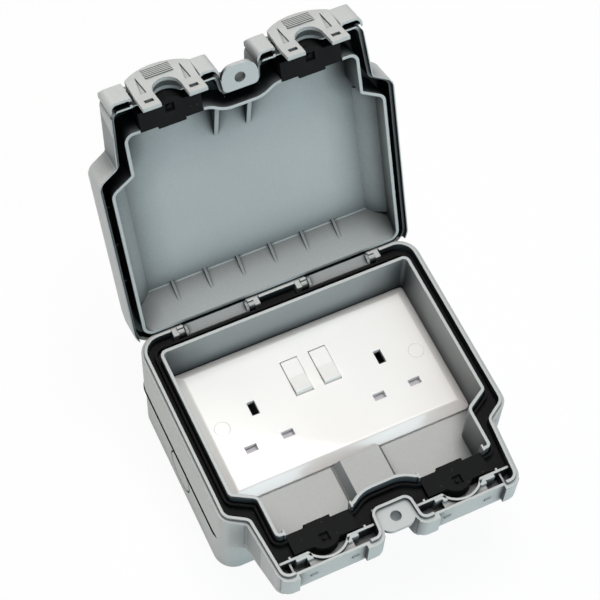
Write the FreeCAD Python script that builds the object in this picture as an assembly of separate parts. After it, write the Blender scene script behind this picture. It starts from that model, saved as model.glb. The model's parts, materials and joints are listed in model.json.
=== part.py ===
import FreeCAD, Part
import math
import os

# Outdoor weatherproof twin socket. Millimetres.
# X runs along the hinge, Y towards the hinge, Z out of the wall. The origin is the centre
# of the box's back face. The lid is drawn closed and then turned to its open stop.

V = FreeCAD.Vector
ALONG_X = V(1, 0, 0)
ALONG_Z = V(0, 0, 1)

# Back box
BOX_HALF_X = 84.8
BOX_HALF_Y = 58.5
BOX_CORNER = 12.0
BOX_DEPTH = 40.0
BOX_WALL = 3.0
BOX_FLOOR = 3.0
FIXING_X = 60.0
FIXING_Y = 40.0
FIXING_R = 2.5
KNOCKOUT_R = 13.0
KNOCKOUT_GROOVE = 1.0
KNOCKOUT_SINK = 0.8
BOX_SEAL_WIDTH = 1.4
BOX_SEAL_DEPTH = 1.4

# Front frame levels, measured from the back face
FLOOR_THICK = 3.0
FLOOR_RISE = 7.0
RIM_Z = BOX_DEPTH + 36.5
LID_RIM_Z = RIM_Z - 1.9
WELL_Z = BOX_DEPTH + 40.0
LEDGE_DROP = 2.2
CHANNEL_FLOOR_Z = BOX_DEPTH + 24.5
CHANNEL_FLOOR_THICK = 2.5

# Outline of the channel's outer wall, right half, corner by corner from the hinge side
RIM_REAR_Y = BOX_HALF_Y - 2.6
HINGE_Y = RIM_REAR_Y - 0.4
RIM_SIDE_X = BOX_HALF_X - 2.6
RIM_REAR_R = 9.5
RIM_SHOULDER_Y = -56.4
RIM_WAIST_X = RIM_SIDE_X - 11.4
RIM_WAIST_Y = -63.6
RIM_FRONT_X = RIM_SIDE_X - 14.4
RIM_FRONT_Y = -100.1
NOTCH_X = 11.6
NOTCH_Y = -84.9
RIM_WALL = 1.6
SKIRT_OUT = 3.4
SKIRT_WALL = 2.2
SKIRT_FRONT_RISE = 15.0

# Outline of the well's wall, right half
WELL_REAR_Y = RIM_REAR_Y - 10.6
WELL_SIDE_X = RIM_SIDE_X - 5.6
WELL_SHOULDER_Y = -48.8
WELL_WAIST_X = WELL_SIDE_X - 12.6
WELL_WAIST_Y = -56.2
WELL_FRONT_X = WELL_SIDE_X - 12.9
WELL_FRONT_Y = -80.7
BULGE_OUTER_X = 19.1
BULGE_INNER_X = 11.5
BULGE_Y = -75.6
WELL_WALL = 1.8

# Front wall: latch recesses between lobes, nibs and cable ways
LATCH_X = 39.4
LOBE_OUT = 2.6
LOBE_INNER = (8.0, 21.3)
LOBE_OUTER = (60.6, RIM_FRONT_X + SKIRT_OUT)
LOBE_BOTTOM_Z = RIM_Z - 19.0
NIB_X = 12.1
NIB_WIDTH = 3.6
NIB_HEIGHT = 1.6
NIB_OUT = 0.8
NIB_Z = RIM_Z - 11.7
CABLE_WEB_Y = -92.0
CABLE_WEB_WALL = 1.4
CABLE_DIP_R = 13.0
CABLE_DIP_Y = -85.6
CABLE_SHELF_Z = RIM_Z - 4.5
CABLE_SHELF_THICK = 1.6
POCKET_RIB = 1.2
TAB_HALF_X = 10.6
TAB_FRONT_Y = -100.9
TAB_THICK = 2.3
TAB_HOLE_Y = -93.2
TAB_HOLE_R = 3.0
TAB_ROUND = 7.0
LID_TAB_HALF_X = TAB_HALF_X - 0.6
LID_TAB_FRONT_Y = TAB_FRONT_Y - 0.9
LID_TAB_HOLE_Y = TAB_HOLE_Y - 0.5

# Gasket and grommets
SEAL_GAP = 0.3
BEAD_HALF = 0.7
GASKET_HEIGHT = 6.0
BEAD_TOP_Z = LID_RIM_Z - 0.3
GROMMET_HALF_X = 18.6
GROMMET_REAR_Y = -79.2
GROMMET_FRONT_Y = -90.9
GROMMET_MID_HALF_X = 7.6
GROMMET_MID_REAR_OUT = 1.6
GROMMET_MID_BULGE = 3.6
GROMMET_BOTTOM_Z = CHANNEL_FLOOR_Z
GROMMET_TOP_Z = LID_RIM_Z - 0.4
GROMMET_RECESS = 5.2
GROMMET_RECESS_DEPTH = 2.2
GROMMET_NIPPLE_R = 1.1
LID_GROMMET_HALF_X = 17.2
LID_GROMMET_SHIFT = -2.3
TOOTH = 1.2
TOOTH_LENGTH = 3.2
POCKET_RIB_X = RIM_FRONT_X - 5.6

# Cable chamber block
BLOCK_LEFT_X = -7.7
BLOCK_RIGHT_X = 15.9
BLOCK_FLANK = 5.2
BLOCK_STEEP = 2.2
BLOCK_HEIGHT = 5.0

# Lid, drawn closed
LID_DEPTH = 20.0
LID_OUT = 2.6
LID_WALL = 2.2
LID_LIP = 0.6
LID_LIP_DEPTH = 2.3
LID_TOP_THICK = 2.0
LID_EDGE_R = 4.5
LID_FRONT_Y = -96.4
LID_SLOPE_START_Y = 37.0
LID_SLOPE_END_Z = LID_RIM_Z + 8.4
LID_REAR_EDGE_Z = LID_RIM_Z + 3.9
LID_REAR_EDGE_Y = HINGE_Y - 2.5
LID_INNER_GAP = 0.8
LID_INNER_WALL = 1.8
LID_INNER_REAR_Y = WELL_REAR_Y + 3.9
GUSSET_PITCH = 19.9
GUSSET_MID_X = -3.4
GUSSET_COUNT = 6
GUSSET_THICK = 1.6
GUSSET_START_Y = 34.6
GUSSET_END_Y = 43.0
PANEL_START_Y = 36.5
PANEL_THICK = 1.8
FIN_X = (-12.6, 6.2)
FIN_LENGTH = 27.0
FIN_THICK = 2.4
FIN_LOW_Z = WELL_Z + 1.2
SIDE_PANEL_X = WELL_SIDE_X - 9.2
SIDE_PANEL_DROP = 8.6
SIDE_RIB = 1.2
LID_RIB_THICK = 1.2
LID_RIB_PITCH = 26.0
OPEN_ANGLE = 109.7

# Hoods either side of each latch
HOOD_FRONT_Y = -104.0
HOOD_WALL = 1.4
HOOD_ROUND = 4.2
HOOD_TOP_Z = LID_RIM_Z + 17.8
HOOD_BROW = 3.0
HOOD_INNER = (10.6, 20.9)
HOOD_OUTER = (58.0, RIM_FRONT_X + LID_OUT)

# Hinge
HINGE_Z = RIM_Z - 4.0
LEAF_X = (18.6, 56.9)
LEAF_GAP = 0.4
LEAF_DISC = 1.6
LEAF_FLAT = 2.5
LEAF_FLAT_TURN = 130.0
KNUCKLE_R = 3.9
LEAF_THICK = 3.0
HINGE_NOTCH_Z = RIM_Z - 9.0
LUG_THICK = 3.6
LUG_HALF_Y = 3.0
PIN_R = 1.5
PIN_FIT = 0.05
PIN_REACH = 9.0
PIN_HEAD = 5.2
PIN_HEAD_LENGTH = 3.2

# Latch, drawn snapped home; it stands slightly swung out at rest
LATCH_WIDTH = 35.0
LATCH_THICK = 2.2
LATCH_GAP = 0.3
LATCH_PIVOT_Y = -101.4
LATCH_PIVOT_Z = RIM_Z + 10.0
LATCH_TOP_Z = RIM_Z + 16.5
LATCH_BOTTOM_Z = RIM_Z - 16.3
LATCH_CROWN_Y = -106.6
LATCH_ARCH_WIDTH = 15.0
LATCH_ARCH_TOP_Z = RIM_Z + 3.0
LATCH_WINDOW_FIT = 0.6
LATCH_REST_SWING = 2.6
LATCH_ARCH_DROP = 7.0
LATCH_LEG_TOP_Z = RIM_Z - 3.0
LATCH_SHOULDER_Z = RIM_Z + 7.5
LATCH_PIN_R = 1.2
LATCH_BOSS_R = 2.0
RIDGE_COUNT = 6
RIDGE_PITCH = 1.55
RIDGE_PROUD = 0.35
RIDGE_HALF_X = 7.5
GROOVE_WIDTH = 3.2
GROOVE_DEPTH = 0.9

# Socket plate
PLATE_X = 146.0
PLATE_Y = 86.0
PLATE_THICK = 6.0
PLATE_SKIN = 3.0
FLOOR_Z = BOX_DEPTH + FLOOR_RISE
PLATE_BACK_Z = FLOOR_Z
PLATE_FACE_Z = PLATE_BACK_Z + PLATE_THICK
SKIN_BACK_Z = PLATE_FACE_Z - PLATE_SKIN
PLATE_BEVEL = 5.5
PLATE_BEVEL_DROP = 4.2
PLATE_CORNER = 3.0
PLATE_SHIFT = 1.6
PLATE_SOFT = 2.0
PLATE_WALL = 2.4
OUTLET_X = 39.4
EARTH_Y = 4.86
LIVE_Y = -17.34
LIVE_SPACING = 22.2
EARTH_SLOT_X = 4.5
EARTH_SLOT_Y = 8.6
LIVE_SLOT_X = 7.0
LIVE_SLOT_Y = 4.2
PLATE_SCREW_X = PLATE_X / 2 - 12.7
CAP_R = 4.5
CAP_DEPTH = 1.0
SCREW_R = 1.7
SCREW_HEAD_R = 3.0
SCREW_HEAD_H = 1.6
PLATE_POST_R = 3.9
SCREW_CLEAR = 0.1

# Rocker switches
ROCKER_X = 8.8
ROCKER_Y = 13.0
ROCKER_WIDTH = 10.2
ROCKER_LENGTH = 22.5
ROCKER_GAP = 0.3
ROCKER_PIVOT_Z = PLATE_FACE_Z - 2.8
ROCKER_HIGH = 2.6
ROCKER_LOW = 0.5
ROCKER_STUB_R = 1.2
ROCKER_STUB = 1.6
ROCKER_POST = 2.0
ROCKER_LEG_Z = PLATE_FACE_Z - 14.0
ROCKER_LEG = 4.0
ROCKER_THROW = 10.5

# Module housing behind the plate
MODULE_HALF_X = OUTLET_X + LIVE_SPACING / 2 + 5.5
MODULE_REAR_Y = 32.0
MODULE_FRONT_Y = -30.0
MODULE_BACK_Z = FLOOR_Z - 26.0
MODULE_WALL = 1.5
MODULE_GAP = 0.5
MODULE_SCREW_X = MODULE_HALF_X - 5.5
MODULE_SCREW_YS = (-7.0, 25.0)
MODULE_POST_R = 3.0

# Shutters
SHUTTER_Z = PLATE_FACE_Z - 5.1
SHUTTER_THICK = 1.8
SHUTTER_BAR_HALF_X = 14.8
SHUTTER_BAR_Y = 5.8
SHUTTER_STEM_HALF_X = 3.8
SHUTTER_TRAVEL = 5.0
SHUTTER_LUG_DROP = 4.5
SHUTTER_LUG_THICK = 2.0
SHUTTER_SHELF_Z = PLATE_FACE_Z - 7.0

# Metal inside the module
BAR_THICK = 1.2
BAR_WIDTH = 7.0
BAR_Z = MODULE_BACK_Z + 5.0
CONTACT_HALF = 3.3
CONTACT_HEIGHT = 12.0
CONTACT_SHEET = 0.8
CONTACT_Z = BAR_Z + BAR_THICK
LINE_Z = BAR_Z + 3 * BAR_THICK
BAR_INSET = 0.6
SUPPORT_X = 19.0
PIN_ROOM_X = 4.0
PIN_ROOM_Y = 2.6
STEM_ROOM = 8.6
SUPPORT_HALF = 1.5
SUPPORT_RUN = 4.0
SUPPORT_LIP = 1.0
BUS_RIB_X = 2.5
BUS_RIB_Y = (6.0, 11.0)
SWITCH_GAP = 0.3
TERMINAL_R = 2.4
TERMINAL_HEIGHT = 5.0

# Fixings between frame and box
PILLAR_X = BOX_HALF_X - 16.8
PILLAR_Y = BOX_HALF_Y - 21.5
PILLAR_R = 4.2
FRAME_SCREW_R = 1.6
INSERT_R = 2.8
INSERT_LENGTH = 9.0
BOSS_R = 3.6

LID_TOP_Z = LID_RIM_Z + LID_DEPTH
FRONT_WALL_Y = RIM_FRONT_Y - RIM_WALL
PIERCE = 1.0
TINY = 0.01
FAR = 2.5 * WELL_Z
PLATE_GROUP = (
    "socket_faceplate", "plate_screws", "screw_caps", "lug_inserts", "module_housing", "module_screws",
    "earth_bar", "neutral_bar", "line_bus", "terminal_screws", "rocker_left", "rocker_right",
    "shutter_left", "shutter_right", "shutter_spring_left", "shutter_spring_right",
    "line_contact_left", "line_contact_right", "switch_arm_left", "switch_arm_right")


def block(x, y, z):
    """Box between pairs of coordinates."""
    corner = V(min(x), min(y), min(z))
    return Part.makeBox(max(x) - min(x), max(y) - min(y), max(z) - min(z), corner)


def rod(start, axis, radius, length):
    """Cylinder from a start point along an axis."""
    return Part.makeCylinder(radius, length, V(*start), axis)


def mirrored(half):
    """Closed corner list from the right half, given from the hinge side to the front."""
    return half + [(-x, y, r) for x, y, r in reversed(half)]


def grown(corners, distance):
    """The same outline with every edge moved outwards, its arcs kept concentric."""
    count = len(corners)
    lines = []
    for i in range(count):
        a, b = corners[i], corners[(i + 1) % count]
        length = math.hypot(b[0] - a[0], b[1] - a[1])
        dx, dy = (b[0] - a[0]) / length, (b[1] - a[1]) / length
        lines.append((a[0] - dy * distance, a[1] + dx * distance, dx, dy))
    result = []
    for i in range(count):
        ax, ay, adx, ady = lines[i - 1]
        bx, by, bdx, bdy = lines[i]
        turn = adx * bdy - ady * bdx
        along = ((bx - ax) * bdy - (by - ay) * bdx) / turn
        radius = corners[i][2] + (distance if turn < 0 else -distance)
        result.append((ax + along * adx, ay + along * ady, max(radius, 0.4)))
    return result


def outline_wire(corners):
    """Wire through the corners, each rounded by its own tangent arc."""
    count = len(corners)
    arcs = []
    for i in range(count):
        here = V(corners[i][0], corners[i][1], 0)
        before = V(corners[i - 1][0], corners[i - 1][1], 0)
        after = V(corners[(i + 1) % count][0], corners[(i + 1) % count][1], 0)
        back, ahead = before.sub(here), after.sub(here)
        back.normalize()
        ahead.normalize()
        half = back.getAngle(ahead) / 2
        reach = corners[i][2] / math.tan(half)
        middle = back.add(ahead)
        middle.normalize()
        sagitta = corners[i][2] / math.sin(half) - corners[i][2]
        arcs.append((here.add(back.multiply(reach)), here.add(middle.multiply(sagitta)),
                     here.add(ahead.multiply(reach))))
    edges = []
    for i in range(count):
        start, top, end = arcs[i]
        edges.append(Part.Arc(start, top, end).toShape())
        following = arcs[(i + 1) % count][0]
        if end.distanceToPoint(following) > 1e-4:
            edges.append(Part.LineSegment(end, following).toShape())
    return Part.Wire(edges)


def prism(corners, z):
    """Solid of a rounded outline between two levels."""
    wire = outline_wire(corners)
    wire.translate(V(0, 0, min(z)))
    return Part.Face(wire).extrude(V(0, 0, max(z) - min(z)))


def tube(outer, inner, z):
    """Wall between two outlines."""
    return prism(outer, z).cut(prism(inner, (min(z) - PIERCE, max(z) + PIERCE)))


def slab_yz(points, x):
    """Solid of a side profile (y, z) between two x positions."""
    loop = [V(min(x), y, z) for y, z in points]
    face = Part.Face(Part.makePolygon(loop + loop[:1]))
    return face.extrude(V(max(x) - min(x), 0, 0))


def slab_xz(points, y):
    """Solid of a front profile (x, z) between two y positions."""
    loop = [V(px, min(y), pz) for px, pz in points]
    face = Part.Face(Part.makePolygon(loop + loop[:1]))
    return face.extrude(V(0, max(y) - min(y), 0))


def other_side(shape):
    """Mirror image across the middle plane."""
    return shape.mirror(V(0, 0, 0), ALONG_X)


def both(shape):
    """A feature and its mirror image."""
    return [shape, other_side(shape)]


def joined(first, *rest):
    """One clean solid from touching pieces."""
    return first.multiFuse(list(rest)).removeSplitter()


def rectangle(half_x, half_y, radius):
    """Corner list of a rounded rectangle round the origin."""
    return mirrored([(half_x, half_y, radius), (half_x, -half_y, radius)])


def rim_outline(front=RIM_FRONT_Y):
    """Inner edge of the channel's outer wall."""
    return mirrored([
        (RIM_SIDE_X, RIM_REAR_Y, RIM_REAR_R),
        (RIM_SIDE_X, RIM_SHOULDER_Y, 5.0),
        (RIM_WAIST_X, RIM_WAIST_Y, 5.0),
        (RIM_FRONT_X, front, 4.0),
        (NOTCH_X + 1.2, front, 3.0),
        (NOTCH_X, NOTCH_Y, 5.0)])


def well_outline(rear=WELL_REAR_Y):
    """Outer edge of the well's wall."""
    return mirrored([
        (WELL_SIDE_X, rear, 4.0),
        (WELL_SIDE_X, WELL_SHOULDER_Y, 3.5),
        (WELL_WAIST_X, WELL_WAIST_Y, 3.2),
        (WELL_FRONT_X, WELL_FRONT_Y, 3.0),
        (BULGE_OUTER_X, WELL_FRONT_Y, 10.0),
        (BULGE_INNER_X, BULGE_Y, 18.0)])


def latch_spots():
    """Centres of the two cable ways and latches."""
    return (-LATCH_X, LATCH_X)


def back_box():
    """Open box with fixing holes, pillars for the frame screws and side knockouts."""
    outer = rectangle(BOX_HALF_X, BOX_HALF_Y, BOX_CORNER)
    box = prism(outer, (0, BOX_DEPTH))
    box = box.cut(prism(grown(outer, -BOX_WALL), (BOX_FLOOR, BOX_DEPTH + PIERCE)))
    for x in (-PILLAR_X, PILLAR_X):
        for y in (-PILLAR_Y, PILLAR_Y):
            pillar = rod((x, y, 0), ALONG_Z, PILLAR_R, FLOOR_Z - FLOOR_THICK)
            box = box.fuse(pillar)
            drill_z = BOX_DEPTH / 2
            box = box.cut(rod((x, y, drill_z), ALONG_Z, FRAME_SCREW_R, FLOOR_Z))
    for x in (-FIXING_X, FIXING_X):
        for y in (-FIXING_Y, FIXING_Y):
            box = box.cut(rod((x, y, -PIERCE), ALONG_Z, FIXING_R, BOX_FLOOR + 2 * PIERCE))
    seal_groove = tube(grown(outer, -BOX_WALL / 2 + BOX_SEAL_WIDTH / 2),
                       grown(outer, -BOX_WALL / 2 - BOX_SEAL_WIDTH / 2),
                       (BOX_DEPTH - BOX_SEAL_DEPTH, BOX_DEPTH + PIERCE))
    box = box.cut(seal_groove)
    ring = rod((BOX_HALF_X - KNOCKOUT_SINK, 0, BOX_DEPTH / 2), ALONG_X, KNOCKOUT_R, PIERCE + KNOCKOUT_SINK)
    ring = ring.cut(rod((0, 0, BOX_DEPTH / 2), ALONG_X, KNOCKOUT_R - KNOCKOUT_GROOVE, 2 * BOX_HALF_X))
    for groove in both(ring):
        box = box.cut(groove)
    return box.removeSplitter()


def box_seal():
    """Sealing cord in the groove of the box's rim."""
    outer = rectangle(BOX_HALF_X, BOX_HALF_Y, BOX_CORNER)
    return tube(grown(outer, -BOX_WALL / 2 + BOX_SEAL_WIDTH / 2),
                grown(outer, -BOX_WALL / 2 - BOX_SEAL_WIDTH / 2),
                (BOX_DEPTH - BOX_SEAL_DEPTH, BOX_DEPTH))


def frame_walls():
    """Skirt, rim, well wall and the floors that join them."""
    rim = rim_outline()
    well = well_outline()
    box = rectangle(BOX_HALF_X, BOX_HALF_Y, BOX_CORNER)
    skirt = tube(grown(rim, SKIRT_OUT), grown(rim, SKIRT_OUT - SKIRT_WALL), (BOX_DEPTH, RIM_Z - LEDGE_DROP))
    far = NOTCH_Y * 2
    under = slab_yz([(-BOX_HALF_Y, BOX_DEPTH - PIERCE), (-BOX_HALF_Y, BOX_DEPTH),
                     (FRONT_WALL_Y, BOX_DEPTH + SKIRT_FRONT_RISE),
                     (far, BOX_DEPTH + SKIRT_FRONT_RISE), (far, BOX_DEPTH - PIERCE)],
                    (-2 * BOX_HALF_X, 2 * BOX_HALF_X))
    front_cut = block((-2 * BOX_HALF_X, 2 * BOX_HALF_X), (far, FRONT_WALL_Y), (0, 2 * RIM_Z))
    skirt = skirt.cut(under)
    rim_wall = tube(grown(rim, RIM_WALL), rim, (CHANNEL_FLOOR_Z - CHANNEL_FLOOR_THICK, RIM_Z))
    well_wall = tube(well, grown(well, -WELL_WALL), (FLOOR_Z - FLOOR_THICK, WELL_Z))
    channel_floor = tube(grown(rim, RIM_WALL), grown(well, -WELL_WALL / 2),
                         (CHANNEL_FLOOR_Z - CHANNEL_FLOOR_THICK, CHANNEL_FLOOR_Z))
    floor = prism(box, (FLOOR_Z - FLOOR_THICK, FLOOR_Z))
    floor = floor.fuse(prism(well, (FLOOR_Z - FLOOR_THICK, FLOOR_Z)))
    collar = tube(box, grown(box, -BOX_WALL), (BOX_DEPTH, FLOOR_Z))
    low_front = slab_yz([(FRONT_WALL_Y, BOX_DEPTH + SKIRT_FRONT_RISE),
                         (FRONT_WALL_Y + SKIRT_WALL, BOX_DEPTH + SKIRT_FRONT_RISE - 1),
                         (FRONT_WALL_Y + SKIRT_WALL, CHANNEL_FLOOR_Z),
                         (FRONT_WALL_Y, CHANNEL_FLOOR_Z)], (NOTCH_X + 1.5, RIM_FRONT_X - 1))
    frame = joined(skirt.cut(front_cut), rim_wall, well_wall, channel_floor, floor, collar,
                   *both(low_front))
    return frame


def frame_front_features():
    """Lobes beside the latches, latch nibs, the web round each cable way, and the padlock tab."""
    pieces = []
    swollen = grown(rim_outline(FRONT_WALL_Y - LOBE_OUT + SKIRT_OUT), SKIRT_OUT)
    swelling = prism(swollen, (LOBE_BOTTOM_Z, RIM_Z - LEDGE_DROP))
    for lobe in (LOBE_INNER, LOBE_OUTER):
        span = block(lobe, (2 * FRONT_WALL_Y, FRONT_WALL_Y + RIM_WALL / 2), (0, 2 * RIM_Z))
        pieces += both(swelling.common(span))
    for dx in (-NIB_X, NIB_X):
        x = LATCH_X + dx
        profile = [(FRONT_WALL_Y + 0.5, NIB_Z), (FRONT_WALL_Y - NIB_OUT, NIB_Z),
                   (FRONT_WALL_Y - NIB_OUT, NIB_Z + NIB_HEIGHT / 2),
                   (FRONT_WALL_Y, NIB_Z + NIB_HEIGHT), (FRONT_WALL_Y + 0.5, NIB_Z + NIB_HEIGHT)]
        pieces += both(slab_yz(profile, (x - NIB_WIDTH / 2, x + NIB_WIDTH / 2)))
    web_z = (CHANNEL_FLOOR_Z - CHANNEL_FLOOR_THICK, GROMMET_TOP_Z)
    web = block((NOTCH_X + 1, RIM_FRONT_X), (CABLE_WEB_Y - CABLE_WEB_WALL, CABLE_WEB_Y), web_z)
    dip_ring = rod((LATCH_X, CABLE_DIP_Y, min(web_z)), ALONG_Z, CABLE_DIP_R + CABLE_WEB_WALL,
                   max(web_z) - min(web_z))
    shelf = block((LATCH_X - CABLE_DIP_R, LATCH_X + CABLE_DIP_R), (FRONT_WALL_Y + 0.5, CABLE_WEB_Y),
                  (CABLE_SHELF_Z - CABLE_SHELF_THICK, CABLE_SHELF_Z))
    front_side = block((0, BOX_HALF_X), (FRONT_WALL_Y + 0.2, CABLE_WEB_Y - 0.2), (0, 2 * RIM_Z))
    dip_hole = rod((LATCH_X, CABLE_DIP_Y, CHANNEL_FLOOR_Z), ALONG_Z, CABLE_DIP_R, BOX_DEPTH)
    dips = joined(web, dip_ring.common(front_side), shelf).cut(dip_hole)
    pieces += both(dips)
    rib = block((POCKET_RIB_X - POCKET_RIB / 2, POCKET_RIB_X + POCKET_RIB / 2),
                (FRONT_WALL_Y + RIM_WALL / 2, CABLE_WEB_Y - CABLE_WEB_WALL / 2),
                (CHANNEL_FLOOR_Z - CHANNEL_FLOOR_THICK / 2, CABLE_SHELF_Z))
    pieces += both(rib)
    for way in (-1, 1):
        tooth_x = LATCH_X + way * (GROMMET_HALF_X + TOOTH_LENGTH)
        tooth = block((tooth_x - TOOTH / 2, tooth_x + TOOTH / 2),
                      (CABLE_WEB_Y - CABLE_WEB_WALL / 2, CABLE_WEB_Y + TOOTH),
                      (CHANNEL_FLOOR_Z + GASKET_HEIGHT + SEAL_GAP, GROMMET_TOP_Z))
        end_x = LATCH_X + way * (GROMMET_HALF_X + SEAL_GAP + TOOTH / 2)
        end = block((end_x - TOOTH / 2, end_x + TOOTH / 2),
                    (WELL_FRONT_Y - LID_INNER_GAP / 2, WELL_FRONT_Y + TOOTH_LENGTH),
                    (CHANNEL_FLOOR_Z + GASKET_HEIGHT + SEAL_GAP, WELL_Z))
        pieces += both(tooth) + both(end)
    tab = block((-TAB_HALF_X, TAB_HALF_X), (TAB_FRONT_Y, NOTCH_Y), (RIM_Z - LEDGE_DROP - TAB_THICK,
                                                                    RIM_Z - LEDGE_DROP))
    edges = [e for e in tab.Edges if abs(e.CenterOfMass.y - TAB_FRONT_Y) < TINY
             and abs(abs(e.CenterOfMass.x) - TAB_HALF_X) < TINY]
    tab = tab.makeFillet(TAB_ROUND, edges)
    pieces.append(tab.cut(rod((0, TAB_HOLE_Y, 0), ALONG_Z, TAB_HOLE_R, 2 * RIM_Z)))
    return pieces


def hinge_lugs():
    """Four ears in the channel that carry the hinge pins."""
    lugs = []
    spans = ((LEAF_X[0] - LEAF_GAP - LUG_THICK, LEAF_X[0] - LEAF_GAP),
             (LEAF_X[1] + LEAF_GAP, LEAF_X[1] + LEAF_GAP + LUG_THICK))
    for span in spans:
        foot = block(span, (HINGE_Y - LUG_HALF_Y, HINGE_Y + LUG_HALF_Y), (CHANNEL_FLOOR_Z, HINGE_Z))
        head = rod((span[0], HINGE_Y, HINGE_Z), ALONG_X, LUG_HALF_Y, LUG_THICK)
        lugs += both(foot.fuse(head))
    return lugs


def front_frame():
    """The frame moulding: walls, front features, hinge ears and the seats for plate and screws."""
    frame = joined(frame_walls(), *frame_front_features())
    low_rim = block((LOBE_INNER[1] - LOBE_OUT, LOBE_OUTER[0] + HOOD_WALL),
                    (RIM_FRONT_Y + 0.5, 2 * RIM_FRONT_Y),
                    (RIM_Z - LEDGE_DROP, 2 * RIM_Z))
    for cut in both(low_rim):
        frame = frame.cut(cut)
    notch = block((LEAF_X[0] - LEAF_GAP, LEAF_X[1] + LEAF_GAP), (HINGE_Y - KNUCKLE_R - LEAF_GAP,
                                                                 2 * HINGE_Y),
                  (HINGE_NOTCH_Z, 2 * HINGE_Z))
    for cut in both(notch):
        frame = frame.cut(cut)
    frame = joined(frame, *hinge_lugs())
    head = PIN_HEAD / 2 + LEAF_GAP
    inner_face = LEAF_X[0] - LEAF_GAP - LUG_THICK
    outer_face = LEAF_X[1] + LEAF_GAP + LUG_THICK
    for span in ((inner_face - PIN_HEAD_LENGTH - LEAF_GAP, inner_face),
                 (outer_face, outer_face + PIN_HEAD_LENGTH + LEAF_GAP)):
        for cut in both(block(span, (HINGE_Y - head, HINGE_Y + head), (HINGE_Z - head, 2 * HINGE_Z))):
            frame = frame.cut(cut)
    bore = rod((LEAF_X[0] - 2 * LUG_THICK, HINGE_Y, HINGE_Z), ALONG_X, PIN_R + PIN_FIT,
               LEAF_X[1] - LEAF_X[0] + 4 * LUG_THICK)
    for cut in both(bore):
        frame = frame.cut(cut)
    for x in latch_spots():
        frame = frame.cut(block((x - GROMMET_HALF_X - SEAL_GAP, x + GROMMET_HALF_X + SEAL_GAP),
                                (WELL_FRONT_Y - PIERCE / 2, WELL_FRONT_Y + WELL_WALL + PIERCE),
                                (CHANNEL_FLOOR_Z, 2 * WELL_Z)))
    opening = block((PLATE_SHIFT - MODULE_HALF_X - MODULE_GAP, PLATE_SHIFT + MODULE_HALF_X + MODULE_GAP),
                    (MODULE_FRONT_Y - MODULE_GAP, MODULE_REAR_Y + MODULE_GAP), (0, FLOOR_Z + PIERCE))
    frame = frame.cut(opening)
    boss_low = FLOOR_Z - INSERT_LENGTH - 2
    for x in (PLATE_SHIFT - PLATE_SCREW_X, PLATE_SHIFT + PLATE_SCREW_X):
        frame = frame.fuse(rod((x, 0, boss_low), ALONG_Z, BOSS_R, FLOOR_Z - boss_low))
        frame = frame.cut(rod((x, 0, FLOOR_Z - INSERT_LENGTH), ALONG_Z, INSERT_R, INSERT_LENGTH + PIERCE))
        frame = frame.cut(rod((x, 0, 0), ALONG_Z, SCREW_R + SCREW_CLEAR, FLOOR_Z))
    for x in (-PILLAR_X, PILLAR_X):
        for y in (-PILLAR_Y, PILLAR_Y):
            frame = frame.cut(rod((x, y, 0), ALONG_Z, FRAME_SCREW_R + SCREW_CLEAR, FLOOR_Z + PIERCE))
            frame = frame.cut(rod((x, y, FLOOR_Z - SCREW_HEAD_H), ALONG_Z,
                                  SCREW_HEAD_R + SCREW_CLEAR, SCREW_HEAD_H + PIERCE))
    base = FLOOR_Z - FLOOR_THICK / 2
    hump = [(BLOCK_LEFT_X - BLOCK_FLANK, base), (BLOCK_LEFT_X - BLOCK_FLANK, FLOOR_Z),
            (BLOCK_LEFT_X, FLOOR_Z + BLOCK_HEIGHT), (BLOCK_RIGHT_X, FLOOR_Z + BLOCK_HEIGHT),
            (BLOCK_RIGHT_X + BLOCK_STEEP, FLOOR_Z), (BLOCK_RIGHT_X + BLOCK_STEEP, base)]
    hump_solid = slab_xz(hump, (BULGE_Y + WELL_WALL / 2, -PLATE_Y / 2 - MODULE_GAP))
    return joined(frame, hump_solid.common(prism(well_outline(), (0, RIM_Z))))


def gasket_outline():
    """Inside of the channel's outer wall as far as the cable webs."""
    return mirrored([
        (RIM_SIDE_X, RIM_REAR_Y, RIM_REAR_R),
        (RIM_SIDE_X, RIM_SHOULDER_Y, 5.0),
        (RIM_WAIST_X, RIM_WAIST_Y, 5.0),
        (RIM_FRONT_X + 0.5, CABLE_WEB_Y, 2.0),
        (NOTCH_X + 0.5, CABLE_WEB_Y, 2.0),
        (NOTCH_X, NOTCH_Y, 4.5)])


def hinge_bay():
    """Room for one leaf with its ears and pin heads, right side."""
    beyond = LUG_THICK + PIN_HEAD_LENGTH + 2 * LEAF_GAP
    return block((LEAF_X[0] - beyond, LEAF_X[1] + beyond),
                 (HINGE_Y - KNUCKLE_R - LEAF_GAP, 2 * HINGE_Y), (0, 2 * RIM_Z))


def gasket_ring():
    """Whole sealing ring before the grommets interrupt it."""
    inner = grown(well_outline(), SEAL_GAP)
    outer = grown(gasket_outline(), -SEAL_GAP)
    body = tube(outer, inner, (CHANNEL_FLOOR_Z, CHANNEL_FLOOR_Z + GASKET_HEIGHT))
    for bay in both(hinge_bay()):
        body = body.cut(bay)
    middle = LID_INNER_GAP + LID_INNER_WALL / 2
    bead_line = grown(well_outline(LID_INNER_REAR_Y - LID_INNER_GAP), middle)
    bead = tube(grown(bead_line, BEAD_HALF), grown(bead_line, -BEAD_HALF),
                (CHANNEL_FLOOR_Z + GASKET_HEIGHT, BEAD_TOP_Z))
    return joined(body, bead)


def gasket_cutters():
    """The two gaps that the grommets fill."""
    cutters = []
    for x in latch_spots():
        cutters.append(block((x - GROMMET_HALF_X - 0.05, x + GROMMET_HALF_X + 0.05),
                             (2 * WELL_FRONT_Y, GROMMET_REAR_Y + 2), (0, 2 * RIM_Z)))
    return cutters


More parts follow.
